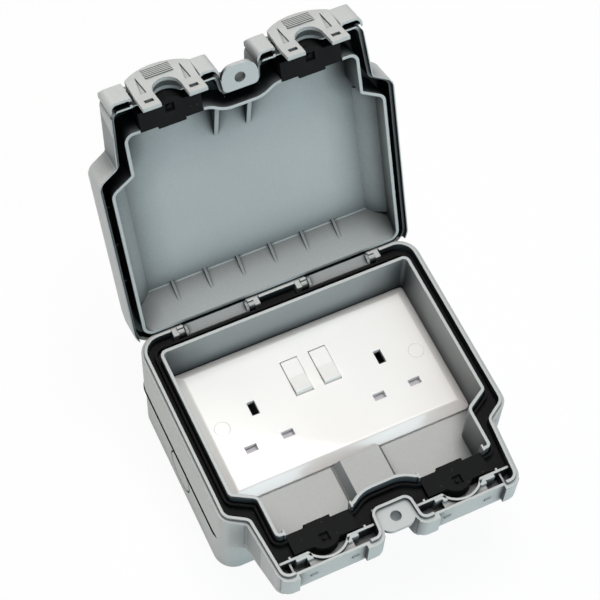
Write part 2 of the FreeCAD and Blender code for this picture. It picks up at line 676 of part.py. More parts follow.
def gasket_parts():
    """The long U-shaped gasket and the short length round the padlock recess."""
    ring = gasket_ring()
    for cutter in gasket_cutters():
        ring = ring.cut(cutter)
    parts = sorted(ring.Solids, key=lambda solid: solid.Volume)
    return parts[-1], parts[0]


def grommet(half_x, bottom, top, recess_up):
    """Rubber cable block with a thicker bulged middle, a square recess and a nipple in it."""
    body = block((-half_x, half_x), (GROMMET_FRONT_Y, GROMMET_REAR_Y), (bottom, top))
    middle = block((-GROMMET_MID_HALF_X, GROMMET_MID_HALF_X),
                   (GROMMET_FRONT_Y, GROMMET_REAR_Y + GROMMET_MID_REAR_OUT), (bottom, top))
    bulge_r = (GROMMET_MID_HALF_X ** 2 + GROMMET_MID_BULGE ** 2) / (2 * GROMMET_MID_BULGE)
    bulge = rod((0, GROMMET_FRONT_Y - GROMMET_MID_BULGE + bulge_r, bottom), ALONG_Z, bulge_r, top - bottom)
    bulge = bulge.common(block((-half_x, half_x), (2 * GROMMET_FRONT_Y, GROMMET_FRONT_Y + 1), (0, FAR)))
    solid = joined(body, middle, bulge)
    half = GROMMET_RECESS / 2
    y = GROMMET_FRONT_Y + GROMMET_RECESS / 2
    face = top if recess_up else bottom
    deep = face - GROMMET_RECESS_DEPTH if recess_up else face + GROMMET_RECESS_DEPTH
    solid = solid.cut(block((-half, half), (y - half, y + half), (deep, 2 * face - deep)))
    nipple = rod((0, y, deep - 0.5 if recess_up else deep - 1.2), ALONG_Z, GROMMET_NIPPLE_R, 1.7)
    return joined(solid, nipple)


def lid_main():
    """The lid's outer shell with its sloped hinge side, lip, inner wall, gussets and ribs."""
    rim = rim_outline(LID_FRONT_Y)
    outer = grown(rim, LID_OUT)
    shell = prism(outer, (LID_RIM_Z, LID_TOP_Z))
    top_edges = [e for e in shell.Edges if e.BoundBox.ZMin > LID_TOP_Z - TINY]
    shell = shell.makeFillet(LID_EDGE_R - 2.0, top_edges)
    rear = 2 * RIM_REAR_Y
    slope_gain = (LID_TOP_Z - LID_SLOPE_END_Z) / (RIM_REAR_Y + LID_OUT - LID_SLOPE_START_Y)
    wide = (-2 * BOX_HALF_X, 2 * BOX_HALF_X)

    def above_slope(sink):
        """Everything over the sloped face, moved down by a wall thickness."""
        start = LID_SLOPE_START_Y - sink / 2
        return slab_yz([(start, LID_TOP_Z - sink), (start, 2 * LID_TOP_Z), (rear, 2 * LID_TOP_Z),
                        (rear, LID_TOP_Z - sink - slope_gain * (rear - start))], wide)

    shell = shell.cut(above_slope(0))
    hollow = prism(grown(outer, -LID_WALL), (LID_RIM_Z - PIERCE, LID_TOP_Z - LID_TOP_THICK))
    shell = shell.cut(hollow.cut(above_slope(LID_TOP_THICK)))
    lip_room = prism(grown(outer, -LID_LIP), (LID_RIM_Z - PIERCE, LID_RIM_Z + LID_LIP_DEPTH))
    shell = shell.cut(lip_room)
    inside = prism(grown(outer, -LID_WALL / 2), (LID_RIM_Z, LID_TOP_Z)).cut(above_slope(LID_TOP_THICK / 2))
    wall_line = well_outline(LID_INNER_REAR_Y - LID_INNER_GAP)
    inner_wall = tube(grown(wall_line, LID_INNER_GAP + LID_INNER_WALL), grown(wall_line, LID_INNER_GAP),
                      (LID_RIM_Z, LID_TOP_Z)).common(inside)
    shell = shell.fuse(inner_wall)
    rear_clear = block(wide, (LID_REAR_EDGE_Y, rear), (0, LID_REAR_EDGE_Z))
    shell = shell.cut(rear_clear)
    ceiling = LID_TOP_Z - LID_TOP_THICK
    over = LID_TOP_THICK / 2
    inner_edge = LID_INNER_REAR_Y + LID_INNER_WALL
    fall = (ceiling - LID_RIM_Z) / (LID_INNER_REAR_Y - PANEL_START_Y)
    bounds = prism(grown(wall_line, LID_INNER_GAP + LID_INNER_WALL / 2), (LID_RIM_Z, LID_TOP_Z - over))
    panel = slab_yz([(PANEL_START_Y, ceiling), (PANEL_START_Y, ceiling + over),
                     (PANEL_START_Y + PANEL_THICK, ceiling + over),
                     (inner_edge, LID_RIM_Z + PANEL_THICK * fall), (inner_edge, LID_RIM_Z),
                     (LID_INNER_REAR_Y, LID_RIM_Z)], wide).common(bounds).cut(above_slope(over))
    gussets = [panel]
    end_z = ceiling - fall * (GUSSET_END_Y - PANEL_START_Y)
    for index in range(GUSSET_COUNT):
        x = GUSSET_MID_X + GUSSET_PITCH * (index - (GUSSET_COUNT - 1) / 2)
        profile = [(GUSSET_START_Y, ceiling), (GUSSET_START_Y, ceiling + over / 2),
                   (PANEL_START_Y + over, ceiling + over / 2), (GUSSET_END_Y + over, end_z),
                   (GUSSET_END_Y, end_z)]
        gussets.append(slab_yz(profile, (x - GUSSET_THICK / 2, x + GUSSET_THICK / 2)))
    fin_y = BULGE_Y - LID_INNER_GAP - LID_INNER_WALL / 2
    for x in FIN_X:
        fin = [(fin_y, FIN_LOW_Z), (fin_y, ceiling + over), (fin_y + FIN_LENGTH, ceiling + over),
               (fin_y + FIN_LENGTH, ceiling)]
        gussets.append(slab_yz(fin, (x - FIN_THICK / 2, x + FIN_THICK / 2)))
    side_x = WELL_SIDE_X + LID_INNER_GAP + LID_INNER_WALL / 2
    side = slab_xz([(SIDE_PANEL_X, ceiling), (SIDE_PANEL_X, ceiling + over),
                    (SIDE_PANEL_X + PANEL_THICK, ceiling + over),
                    (side_x, ceiling - SIDE_PANEL_DROP + PANEL_THICK), (side_x, ceiling - SIDE_PANEL_DROP)],
                   (WELL_SHOULDER_Y, PANEL_START_Y + PANEL_THICK))
    gussets += both(side)
    vents = [block((-WELL_FRONT_X, WELL_FRONT_X), (LID_INNER_REAR_Y - 0.1, inner_edge + 0.1),
                   (LID_RIM_Z + LID_DEPTH / 3, ceiling))]
    vents += both(block((side_x - LID_INNER_WALL, side_x + LID_INNER_WALL),
                        (WELL_SHOULDER_Y + BOX_CORNER, PANEL_START_Y - BOX_CORNER),
                        (ceiling - SIDE_PANEL_DROP / 2, ceiling - SIDE_RIB)))
    ribs = []
    rib_y = WELL_SHOULDER_Y + LID_RIB_PITCH / 2
    while rib_y < LID_INNER_REAR_Y - LID_RIB_PITCH / 2:
        rib = block((WELL_SIDE_X + LID_INNER_GAP + LID_INNER_WALL - 0.2,
                     RIM_SIDE_X + LID_OUT - LID_WALL / 2),
                    (rib_y - LID_RIB_THICK / 2, rib_y + LID_RIB_THICK / 2),
                    (LID_RIM_Z + LID_DEPTH / 2, LID_TOP_Z - 1))
        ribs += both(rib)
        rib_y += LID_RIB_PITCH
    for vent in vents:
        shell = shell.cut(vent.cut(above_slope(LID_TOP_THICK)))
    return joined(shell, *gussets, *ribs)


def hood(span, round_low):
    """Rounded hood beside a latch, open towards the base, its upper front edge rounded off."""
    low, high = span
    crisp = HOOD_WALL / 2
    back_y = LID_FRONT_Y - LID_OUT + LID_WALL / 2
    radii = (HOOD_ROUND, crisp) if round_low else (crisp, HOOD_ROUND)
    corners = [(high, back_y, crisp / 2), (high, HOOD_FRONT_Y, radii[1]),
               (low, HOOD_FRONT_Y, radii[0]), (low, back_y, crisp / 2)]
    solid = prism(corners, (LID_RIM_Z, HOOD_TOP_Z))
    brow = slab_yz([(HOOD_FRONT_Y, HOOD_TOP_Z - HOOD_BROW), (HOOD_FRONT_Y + HOOD_BROW, HOOD_TOP_Z),
                    (HOOD_FRONT_Y, 2 * HOOD_TOP_Z), (2 * HOOD_FRONT_Y, 2 * HOOD_TOP_Z),
                    (2 * HOOD_FRONT_Y, HOOD_TOP_Z - HOOD_BROW)], (low, high))
    hollow = prism(grown(corners, -HOOD_WALL), (LID_RIM_Z - PIERCE, HOOD_TOP_Z - HOOD_BROW))
    lid_face = LID_FRONT_Y - LID_OUT
    behind = block((low + HOOD_WALL, high - HOOD_WALL), (lid_face, lid_face - HOOD_WALL),
                   (LID_RIM_Z - PIERCE, HOOD_TOP_Z - HOOD_BROW))
    return solid.cut(brow).cut(hollow).cut(behind)


def lid_closed():
    """The whole lid: shell, hoods, hinge leaves, padlock tab and cable arches."""
    lid = lid_main()
    pieces = []
    for span, low_side in ((HOOD_INNER, True), (HOOD_OUTER, False)):
        pieces += both(hood(span, low_side))
    tab = block((-LID_TAB_HALF_X, LID_TAB_HALF_X), (LID_TAB_FRONT_Y, NOTCH_Y - LID_OUT + LID_WALL),
                (LID_RIM_Z, LID_RIM_Z + TAB_THICK))
    edges = [e for e in tab.Edges if abs(e.CenterOfMass.y - LID_TAB_FRONT_Y) < TINY
             and abs(abs(e.CenterOfMass.x) - LID_TAB_HALF_X) < TINY]
    tab = tab.makeFillet(TAB_ROUND, edges)
    pieces.append(tab)
    leaf_mid = HINGE_Y
    leaf = block(LEAF_X, (leaf_mid - LEAF_THICK / 2, leaf_mid + LEAF_THICK / 2),
                 (HINGE_Z, LID_REAR_EDGE_Z + 1.5))
    knuckle = rod((LEAF_X[0], HINGE_Y, HINGE_Z), ALONG_X, KNUCKLE_R, LEAF_X[1] - LEAF_X[0])
    flat = block((LEAF_X[0] + LEAF_DISC, LEAF_X[1] - LEAF_DISC),
                 (HINGE_Y - 2 * KNUCKLE_R, HINGE_Y + 2 * KNUCKLE_R),
                 (HINGE_Z + LEAF_FLAT, HINGE_Z + 2 * KNUCKLE_R))
    flat.rotate(V(0, HINGE_Y, HINGE_Z), ALONG_X, LEAF_FLAT_TURN)
    pieces += both(leaf.fuse(knuckle.cut(flat)))
    lid = joined(lid, *pieces)
    lid = lid.cut(rod((0, LID_TAB_HOLE_Y, 0), ALONG_Z, TAB_HOLE_R, LID_RIM_Z + TAB_THICK + PIERCE))
    for bore in both(rod((LEAF_X[0] - PIERCE, HINGE_Y, HINGE_Z), ALONG_X, PIN_R + PIN_FIT,
                         LEAF_X[1] - LEAF_X[0] + 2 * PIERCE)):
        lid = lid.cut(bore)
    pin = rod((HOOD_INNER[1] - 2 * HOOD_WALL, LATCH_PIVOT_Y, LATCH_PIVOT_Z), ALONG_X, LATCH_PIN_R + PIN_FIT,
              HOOD_OUTER[0] - HOOD_INNER[1] + 4 * HOOD_WALL)
    for bore in both(pin):
        lid = lid.cut(bore)
    for x in latch_spots():
        arch = rod((x, 0, LID_RIM_Z), V(0, -1, 0), LATCH_ARCH_WIDTH / 2, -LID_FRONT_Y + 2 * LID_OUT)
        keep = block((x - LATCH_WIDTH, x + LATCH_WIDTH),
                     (LID_GROMMET_SHIFT + GROMMET_FRONT_Y - GROMMET_MID_BULGE, -2 * BOX_HALF_X),
        (0, FAR))
        lid = lid.cut(arch.common(keep))
        room = block((x - LID_GROMMET_HALF_X - SEAL_GAP, x + LID_GROMMET_HALF_X + SEAL_GAP),
                     (LID_GROMMET_SHIFT + GROMMET_FRONT_Y - SEAL_GAP,
                      LID_GROMMET_SHIFT + GROMMET_REAR_Y + GROMMET_MID_REAR_OUT + SEAL_GAP),
                     (0, LID_RIM_Z + LID_DEPTH / 2))
        belly = block((x - GROMMET_MID_HALF_X - SEAL_GAP, x + GROMMET_MID_HALF_X + SEAL_GAP),
                      (LID_GROMMET_SHIFT + GROMMET_FRONT_Y - GROMMET_MID_BULGE - SEAL_GAP,
                       LID_GROMMET_SHIFT + GROMMET_FRONT_Y), (0, LID_RIM_Z + LID_DEPTH / 2))
        lid = lid.cut(belly)
        lid = lid.cut(room)
    rim = rim_outline()
    rim_way = tube(grown(rim, RIM_WALL + SEAL_GAP), grown(rim, -SEAL_GAP),
                   (LID_RIM_Z - PIERCE, RIM_Z + SEAL_GAP))
    front_part = block((-BOX_HALF_X, BOX_HALF_X), (WELL_FRONT_Y, 2 * WELL_FRONT_Y), (0, 2 * RIM_Z))
    return lid.cut(rim_way.common(front_part))


def latch_closed():
    """Snap latch: crown with an arched top and grip ridges, two legs with windows, a pin boss."""
    inner_leg_y = FRONT_WALL_Y - LATCH_GAP
    crown_in = LATCH_CROWN_Y + LATCH_THICK
    lean = [(inner_leg_y, LATCH_LEG_TOP_Z), (crown_in, LATCH_SHOULDER_Z), (crown_in, LATCH_TOP_Z)]
    profile = [(inner_leg_y, LATCH_BOTTOM_Z)] + lean
    profile += [(y - LATCH_THICK, z) for y, z in reversed([(inner_leg_y, LATCH_BOTTOM_Z)] + lean)]
    half = LATCH_WIDTH / 2
    body = slab_yz(profile, (-half, half))
    boss = rod((-half, LATCH_PIVOT_Y, LATCH_PIVOT_Z), ALONG_X, LATCH_BOSS_R, LATCH_WIDTH)
    web = block((-half, half), (crown_in - LATCH_GAP, LATCH_PIVOT_Y),
                (LATCH_PIVOT_Z - LATCH_BOSS_R, LATCH_PIVOT_Z + LATCH_BOSS_R))
    body = joined(body, boss, web)
    reach = (2 * LATCH_CROWN_Y, 0)
    crown_r = (half ** 2 + LATCH_ARCH_DROP ** 2) / (2 * LATCH_ARCH_DROP)
    crown_end = LATCH_TOP_Z - LATCH_ARCH_DROP
    dome = rod((0, 0, LATCH_TOP_Z - crown_r), V(0, -1, 0), crown_r, -2 * LATCH_CROWN_Y)
    body = body.common(joined(dome, block((-half, half), reach, (0, crown_end))))
    arch_r = LATCH_ARCH_WIDTH / 2
    arch_centre = LATCH_ARCH_TOP_Z - arch_r
    body = body.cut(block((-arch_r, arch_r), reach, (0, arch_centre)))
    body = body.cut(rod((0, 0, arch_centre), V(0, -1, 0), arch_r, -2 * LATCH_CROWN_Y))
    body = body.cut(rod((-half - PIERCE, LATCH_PIVOT_Y, LATCH_PIVOT_Z), ALONG_X, LATCH_PIN_R + PIN_FIT,
                        LATCH_WIDTH + 2 * PIERCE))
    outer_face = [(y - LATCH_THICK, z) for y, z in lean]
    groove_face = slab_yz([(y - LATCH_THICK, z) for y, z in outer_face]
                          + [(y + GROOVE_DEPTH, z) for y, z in reversed(outer_face)], (-half, half))
    window_fit = NIB_WIDTH / 2 + LATCH_WINDOW_FIT
    for dx in (-NIB_X, NIB_X):
        body = body.cut(block((dx - window_fit, dx + window_fit), reach,
                              (NIB_Z - LATCH_WINDOW_FIT, NIB_Z + NIB_HEIGHT + LATCH_WINDOW_FIT)))
        taper = slab_xz([(dx - GROOVE_WIDTH / 2, LATCH_LEG_TOP_Z), (dx + GROOVE_WIDTH / 2, LATCH_LEG_TOP_Z),
                         (dx, crown_end)], reach)
        body = body.cut(taper.common(groove_face))
    ridges = []
    for index in range(RIDGE_COUNT):
        z = LATCH_TOP_Z - (index + 2) * RIDGE_PITCH
        ridges.append(block((-RIDGE_HALF_X, RIDGE_HALF_X),
                            (LATCH_CROWN_Y - RIDGE_PROUD, LATCH_CROWN_Y + LATCH_THICK / 2),
                            (z - RIDGE_PITCH / 4, z + RIDGE_PITCH / 4)))
    return joined(body, *ridges)


def latch_pin():
    """Steel pin from hood to hood."""
    inner = HOOD_INNER[1] - HOOD_WALL
    return rod((inner, LATCH_PIVOT_Y, LATCH_PIVOT_Z), ALONG_X, LATCH_PIN_R,
               HOOD_OUTER[0] + HOOD_WALL - inner)


def hinge_pins():
    """Four stub pins with square heads, one at each end of each leaf."""
    pins = []
    heads = ((LEAF_X[0] - LEAF_GAP - LUG_THICK, -1), (LEAF_X[1] + LEAF_GAP + LUG_THICK, 1))
    for face, way in heads:
        half = PIN_HEAD / 2
        head = block((face, face + way * PIN_HEAD_LENGTH), (HINGE_Y - half, HINGE_Y + half),
                     (HINGE_Z - half, HINGE_Z + half))
        reach = LUG_THICK + LEAF_GAP + PIN_REACH
        shank = rod((face, HINGE_Y, HINGE_Z), V(-way, 0, 0), PIN_R, reach)
        pins += both(head.fuse(shank))
    return Part.makeCompound(pins)


def opened(shape):
    """Turn a piece of the closed lid to the open stop."""
    turned = shape.copy()
    turned.rotate(V(0, HINGE_Y, HINGE_Z), ALONG_X, -OPEN_ANGLE)
    return turned


def plate_slots():
    """Cutters for the pin slots of both outlets."""
    cutters = []
    for x in (-OUTLET_X, OUTLET_X):
        cutters.append(block((x - EARTH_SLOT_X / 2, x + EARTH_SLOT_X / 2),
                             (EARTH_Y - EARTH_SLOT_Y / 2, EARTH_Y + EARTH_SLOT_Y / 2), (0, FAR)))
        for way in (-1, 1):
            slot_x = x + way * LIVE_SPACING / 2
            cutters.append(block((slot_x - LIVE_SLOT_X / 2, slot_x + LIVE_SLOT_X / 2),
                                 (LIVE_Y - LIVE_SLOT_Y / 2, LIVE_Y + LIVE_SLOT_Y / 2), (0, FAR)))
    return cutters


def socket_faceplate():
    """White plate with a wide bevel, pin slots, rocker openings and sunk screw seats."""
    plate = Part.makeBox(PLATE_X, PLATE_Y, PLATE_THICK, V(-PLATE_X / 2, -PLATE_Y / 2, PLATE_BACK_Z))
    corners = [e for e in plate.Edges if abs(e.CenterOfMass.z - PLATE_BACK_Z - PLATE_THICK / 2) < TINY]
    plate = plate.makeFillet(PLATE_CORNER, corners)
    half_x, half_y = PLATE_X / 2, PLATE_Y / 2
    low = PLATE_FACE_Z - PLATE_BEVEL_DROP
    for way in (-1, 1):
        wedge_y = [(way * (half_y - PLATE_BEVEL), PLATE_FACE_Z), (way * (half_y - PLATE_BEVEL),
                                                                  2 * PLATE_FACE_Z),
                   (way * 2 * half_y, 2 * PLATE_FACE_Z),
                   (way * 2 * half_y, low - PLATE_BEVEL_DROP * half_y / PLATE_BEVEL)]
        plate = plate.cut(slab_yz(wedge_y, (-PLATE_X, PLATE_X)))
        wedge_x = [(way * (half_x - PLATE_BEVEL), PLATE_FACE_Z), (way * (half_x - PLATE_BEVEL),
                                                                  2 * PLATE_FACE_Z),
                   (way * 2 * half_x, 2 * PLATE_FACE_Z),
                   (way * 2 * half_x, low - PLATE_BEVEL_DROP * half_x / PLATE_BEVEL)]
        plate = plate.cut(slab_xz(wedge_x, (-PLATE_Y, PLATE_Y)))
    crease = [e for e in plate.Edges if abs(e.BoundBox.ZMin - PLATE_FACE_Z) < TINY
              and abs(e.BoundBox.ZMax - PLATE_FACE_Z) < TINY]
    plate = plate.makeFillet(PLATE_SOFT, crease)
    hollow_x, hollow_y = half_x - PLATE_BEVEL - PLATE_WALL, half_y - PLATE_BEVEL - PLATE_WALL
    plate = plate.cut(block((-hollow_x, hollow_x), (-hollow_y, hollow_y),
                            (PLATE_BACK_Z - PIERCE, SKIN_BACK_Z)))
    for cutter in plate_slots():
        plate = plate.cut(cutter)
    for x in (-ROCKER_X, ROCKER_X):
        half = ROCKER_WIDTH / 2 + ROCKER_GAP
        length = ROCKER_LENGTH / 2 + ROCKER_GAP
        plate = plate.cut(block((x - half, x + half), (ROCKER_Y - length, ROCKER_Y + length), (0, FAR)))
    reach = ROCKER_X + ROCKER_WIDTH / 2 + ROCKER_GAP + ROCKER_POST + 0.5
    pocket = ROCKER_STUB_R + 1.4
    plate = plate.cut(block((-reach, reach), (ROCKER_Y - pocket, ROCKER_Y + pocket),
                            (PLATE_BACK_Z, ROCKER_PIVOT_Z + ROCKER_STUB_R + 0.6)))
    for x in (-PLATE_SCREW_X, PLATE_SCREW_X):
        post = rod((x, 0, PLATE_BACK_Z), ALONG_Z, PLATE_POST_R, PLATE_THICK - CAP_DEPTH)
        plate = plate.fuse(post)
        plate = plate.cut(rod((x, 0, 0), ALONG_Z, SCREW_R + SCREW_CLEAR, FAR))
        head_seat = PLATE_FACE_Z - CAP_DEPTH - SCREW_HEAD_H
        plate = plate.cut(rod((x, 0, head_seat), ALONG_Z, SCREW_HEAD_R + SCREW_CLEAR, FAR))
        plate = plate.cut(rod((x, 0, PLATE_FACE_Z - CAP_DEPTH), ALONG_Z, CAP_R, FAR))
    for x in (-MODULE_SCREW_X, MODULE_SCREW_X):
        for y in MODULE_SCREW_YS:
            plate = plate.cut(rod((x, y, 0), ALONG_Z, SCREW_R, PLATE_FACE_Z - 1))
    return plate.removeSplitter()


def plate_screws():
    """Two screws from the plate into the frame's brass inserts."""
    seat = PLATE_FACE_Z - CAP_DEPTH - SCREW_HEAD_H
    screws = []
    for x in (-PLATE_SCREW_X, PLATE_SCREW_X):
        head = rod((x, 0, seat), ALONG_Z, SCREW_HEAD_R, SCREW_HEAD_H)
        shank = rod((x, 0, seat), V(0, 0, -1), SCREW_R, seat - FLOOR_Z + INSERT_LENGTH)
        screws.append(head.fuse(shank))
    return Part.makeCompound(screws)


def screw_caps():
    """Snap-in caps over the plate screws."""
    caps = [rod((x, 0, PLATE_FACE_Z - CAP_DEPTH), ALONG_Z, CAP_R, CAP_DEPTH) for x in (-PLATE_SCREW_X,
                                                                                       PLATE_SCREW_X)]
    return Part.makeCompound(caps)


def lug_inserts():
    """Brass bushes in the frame's bosses."""
    inserts = []
    for x in (-PLATE_SCREW_X, PLATE_SCREW_X):
        bush = rod((x, 0, FLOOR_Z - INSERT_LENGTH), ALONG_Z, INSERT_R, INSERT_LENGTH)
        inserts.append(bush.cut(rod((x, 0, 0), ALONG_Z, SCREW_R, FAR)))
    return Part.makeCompound(inserts)


def frame_screws():
    """Four screws from the frame's floor into the box pillars."""
    screws = []
    for x in (-PILLAR_X, PILLAR_X):
        for y in (-PILLAR_Y, PILLAR_Y):
            seat = FLOOR_Z - SCREW_HEAD_H
            head = rod((x, y, seat), ALONG_Z, SCREW_HEAD_R, SCREW_HEAD_H)
            shank = rod((x, y, seat), V(0, 0, -1), FRAME_SCREW_R, seat - BOX_DEPTH / 2 - 2)
            screws.append(head.fuse(shank))
    return Part.makeCompound(screws)


def rocker(x):
    """Rocker with a raised and a low end, pivot stubs and an actuating leg. Drawn switched off."""
    face = PLATE_FACE_Z - ROCKER_PIVOT_Z
    reach = math.sqrt((ROCKER_LENGTH / 2) ** 2 - face ** 2)
    end = ROCKER_LENGTH / 2
    half = ROCKER_WIDTH / 2
    barrel = rod((x - half, ROCKER_Y, ROCKER_PIVOT_Z), ALONG_X, end, ROCKER_WIDTH)
    profile = [(ROCKER_Y - end, SKIN_BACK_Z - 1), (ROCKER_Y - end, PLATE_FACE_Z + ROCKER_HIGH),
               (ROCKER_Y, PLATE_FACE_Z + ROCKER_LOW), (ROCKER_Y + end, PLATE_FACE_Z + ROCKER_LOW),
               (ROCKER_Y + end, SKIN_BACK_Z - 1)]
    cap = slab_yz(profile, (x - half, x + half)).common(barrel)
    cap = cap.cut(block((x - half + 1.4, x + half - 1.4), (ROCKER_Y - reach + 1.6, ROCKER_Y + reach - 1.6),
                        (0, PLATE_FACE_Z - 1.6)))
    leg = block((x - half + 1.2, x + half - 1.2), (ROCKER_Y - ROCKER_LEG / 2, ROCKER_Y + ROCKER_LEG / 2),
                (ROCKER_LEG_Z, PLATE_FACE_Z - 1))
    stubs = rod((x - half - ROCKER_STUB, ROCKER_Y, ROCKER_PIVOT_Z), ALONG_X, ROCKER_STUB_R,
                ROCKER_WIDTH + 2 * ROCKER_STUB)
    return joined(cap, leg, stubs)


def bar_supports():
    """Ribs on the housing's floor that carry the metal bars."""
    line_y = LIVE_Y + BAR_WIDTH / 2
    neutral_y = MODULE_FRONT_Y + MODULE_WALL + BAR_INSET
    bus_x = ROCKER_X + BUS_RIB_X
    ribs = []
    for x in (-SUPPORT_X, SUPPORT_X):
        span = (x - SUPPORT_HALF, x + SUPPORT_HALF)
        ribs.append(block(span, (EARTH_Y - BAR_WIDTH / 2, EARTH_Y - SUPPORT_LIP), (MODULE_BACK_Z, BAR_Z)))
        ribs.append(block(span, (neutral_y, neutral_y + SUPPORT_RUN), (MODULE_BACK_Z, BAR_Z)))
    for x in (-OUTLET_X, OUTLET_X):
        slot_x = x + LIVE_SPACING / 2
        ribs.append(block((slot_x - SUPPORT_HALF, slot_x + SUPPORT_HALF),
                          (line_y + SUPPORT_LIP - SUPPORT_RUN, line_y + SUPPORT_LIP),
                          (MODULE_BACK_Z, LINE_Z)))
    for x in (-bus_x, bus_x):
        ribs.append(block((x - SUPPORT_HALF, x + SUPPORT_HALF),
                          (ROCKER_Y + BUS_RIB_Y[0], ROCKER_Y + BUS_RIB_Y[1]),
                          (MODULE_BACK_Z, LINE_Z)))
    return ribs


def module_housing():
    """Tray behind the plate with posts for its screws, rocker cradles and a shutter shelf."""
    size_y = (MODULE_FRONT_Y, MODULE_REAR_Y)
    tray = block((-MODULE_HALF_X, MODULE_HALF_X), size_y, (MODULE_BACK_Z, SKIN_BACK_Z))
    tray = tray.cut(block((-MODULE_HALF_X + MODULE_WALL, MODULE_HALF_X - MODULE_WALL),
                          (MODULE_FRONT_Y + MODULE_WALL, MODULE_REAR_Y - MODULE_WALL),
                          (MODULE_BACK_Z + MODULE_WALL, FAR)))
    pieces = []
    for x in (-MODULE_SCREW_X, MODULE_SCREW_X):
        for y in MODULE_SCREW_YS:
            pieces.append(rod((x, y, MODULE_BACK_Z), ALONG_Z, MODULE_POST_R, SKIN_BACK_Z - MODULE_BACK_Z))
    half = ROCKER_WIDTH / 2 + ROCKER_GAP
    top = ROCKER_PIVOT_Z + ROCKER_STUB_R + 0.4
    outer_x = ROCKER_X + half
    gap_x = ROCKER_X - half
    for x_span in ((outer_x, outer_x + ROCKER_POST), (-outer_x - ROCKER_POST, -outer_x), (-gap_x, gap_x)):
        pieces.append(block(x_span, (ROCKER_Y - 2.4, ROCKER_Y + 2.4), (MODULE_BACK_Z, top)))
    for x in (-OUTLET_X, OUTLET_X):
        shelf = block((x - SHUTTER_BAR_HALF_X, x + SHUTTER_BAR_HALF_X),
                      (LIVE_Y - SHUTTER_BAR_Y - SHUTTER_TRAVEL, LIVE_Y + 9),
                      (SHUTTER_SHELF_Z, SHUTTER_Z - 0.1))
        legs = [block((x + w * SHUTTER_BAR_HALF_X - 1, x + w * SHUTTER_BAR_HALF_X + 1),
                      (MODULE_FRONT_Y + 1, LIVE_Y + 9), (CONTACT_Z + CONTACT_HEIGHT + 1, SHUTTER_Z - 0.1))
                for w in (-1, 1)]
        for way in (-1, 1):
            sx = x + way * LIVE_SPACING / 2
            shelf = shelf.cut(block((sx - PIN_ROOM_X, sx + PIN_ROOM_X),
                                    (LIVE_Y - PIN_ROOM_Y, LIVE_Y + PIN_ROOM_Y), (0, FAR)))
        shelf = shelf.cut(block((x - PIN_ROOM_Y, x + PIN_ROOM_Y),
                                (LIVE_Y - STEM_ROOM - SHUTTER_TRAVEL, LIVE_Y + PIN_ROOM_X / 2), (0, FAR)))
        pieces += [shelf] + legs
    pieces += bar_supports()
    tray = joined(tray, *pieces)
    for x in (-MODULE_SCREW_X, MODULE_SCREW_X):
        for y in MODULE_SCREW_YS:
            tray = tray.cut(rod((x, y, 0), ALONG_Z, SCREW_R, FAR))
    tray = tray.cut(rod((-MODULE_HALF_X / 2, ROCKER_Y, ROCKER_PIVOT_Z), ALONG_X,
                        ROCKER_STUB_R + PIN_FIT, MODULE_HALF_X))
    return tray


def module_screws():
    """Four screws that hold the housing to the plate."""
    screws = []
    for x in (-MODULE_SCREW_X, MODULE_SCREW_X):
        for y in MODULE_SCREW_YS:
            head = rod((x, y, MODULE_BACK_Z), V(0, 0, -1), MODULE_POST_R, SCREW_HEAD_H)
            shank = rod((x, y, MODULE_BACK_Z), ALONG_Z, SCREW_R, PLATE_FACE_Z - 1 - MODULE_BACK_Z)
            screws.append(head.fuse(shank))
    return Part.makeCompound(screws)


def shutter(x):
    """Sliding safety shutter: a bar over the two pin slots, a stem to the earth slot and a lug."""
    top = SHUTTER_Z + SHUTTER_THICK
    bar = block((x - SHUTTER_BAR_HALF_X, x + SHUTTER_BAR_HALF_X),
                (LIVE_Y - SHUTTER_BAR_Y / 2, LIVE_Y + SHUTTER_BAR_Y / 2), (SHUTTER_Z, top))
    stem = block((x - SHUTTER_STEM_HALF_X, x + SHUTTER_STEM_HALF_X),
                 (LIVE_Y, EARTH_Y - EARTH_SLOT_Y / 2 - SEAL_GAP), (SHUTTER_Z, top))
    lug = block((x - 1.8, x + 1.8), (LIVE_Y - 1, LIVE_Y - 1 + SHUTTER_LUG_THICK),
                (SHUTTER_Z - SHUTTER_LUG_DROP, SHUTTER_Z))
    return joined(bar, stem, lug)


def shutter_spring(x):
    """Leaf spring on the housing's lower wall that pushes the shutter's lug back."""
    wall_y = MODULE_FRONT_Y + MODULE_WALL
    tip_y = LIVE_Y - 1 - SHUTTER_TRAVEL - SEAL_GAP
    low = SHUTTER_Z - SHUTTER_LUG_DROP
    sheet = 0.4
    span = (x - 1.6, x + 1.6)
    foot = block(span, (wall_y, wall_y + sheet), (low - 2.5, low + 2.5))
    arm = block(span, (wall_y, tip_y), (low, low + sheet))
    tip = block(span, (tip_y - sheet, tip_y), (low, low + 3))
    return joined(foot, arm, tip)


def pin_contact(x, y):
    """Pair of sprung cheeks that grip a plug pin, standing on a bar."""
    gap = CONTACT_HALF / 2
    cheeks = []
    for way in (-1, 1):
        near = x + way * gap
        far = x + way * (gap + CONTACT_SHEET)
        cheeks.append(block((near, far), (y - CONTACT_HALF / 2, y + CONTACT_HALF / 2),
                            (BAR_Z, CONTACT_Z + CONTACT_HEIGHT)))
    return cheeks


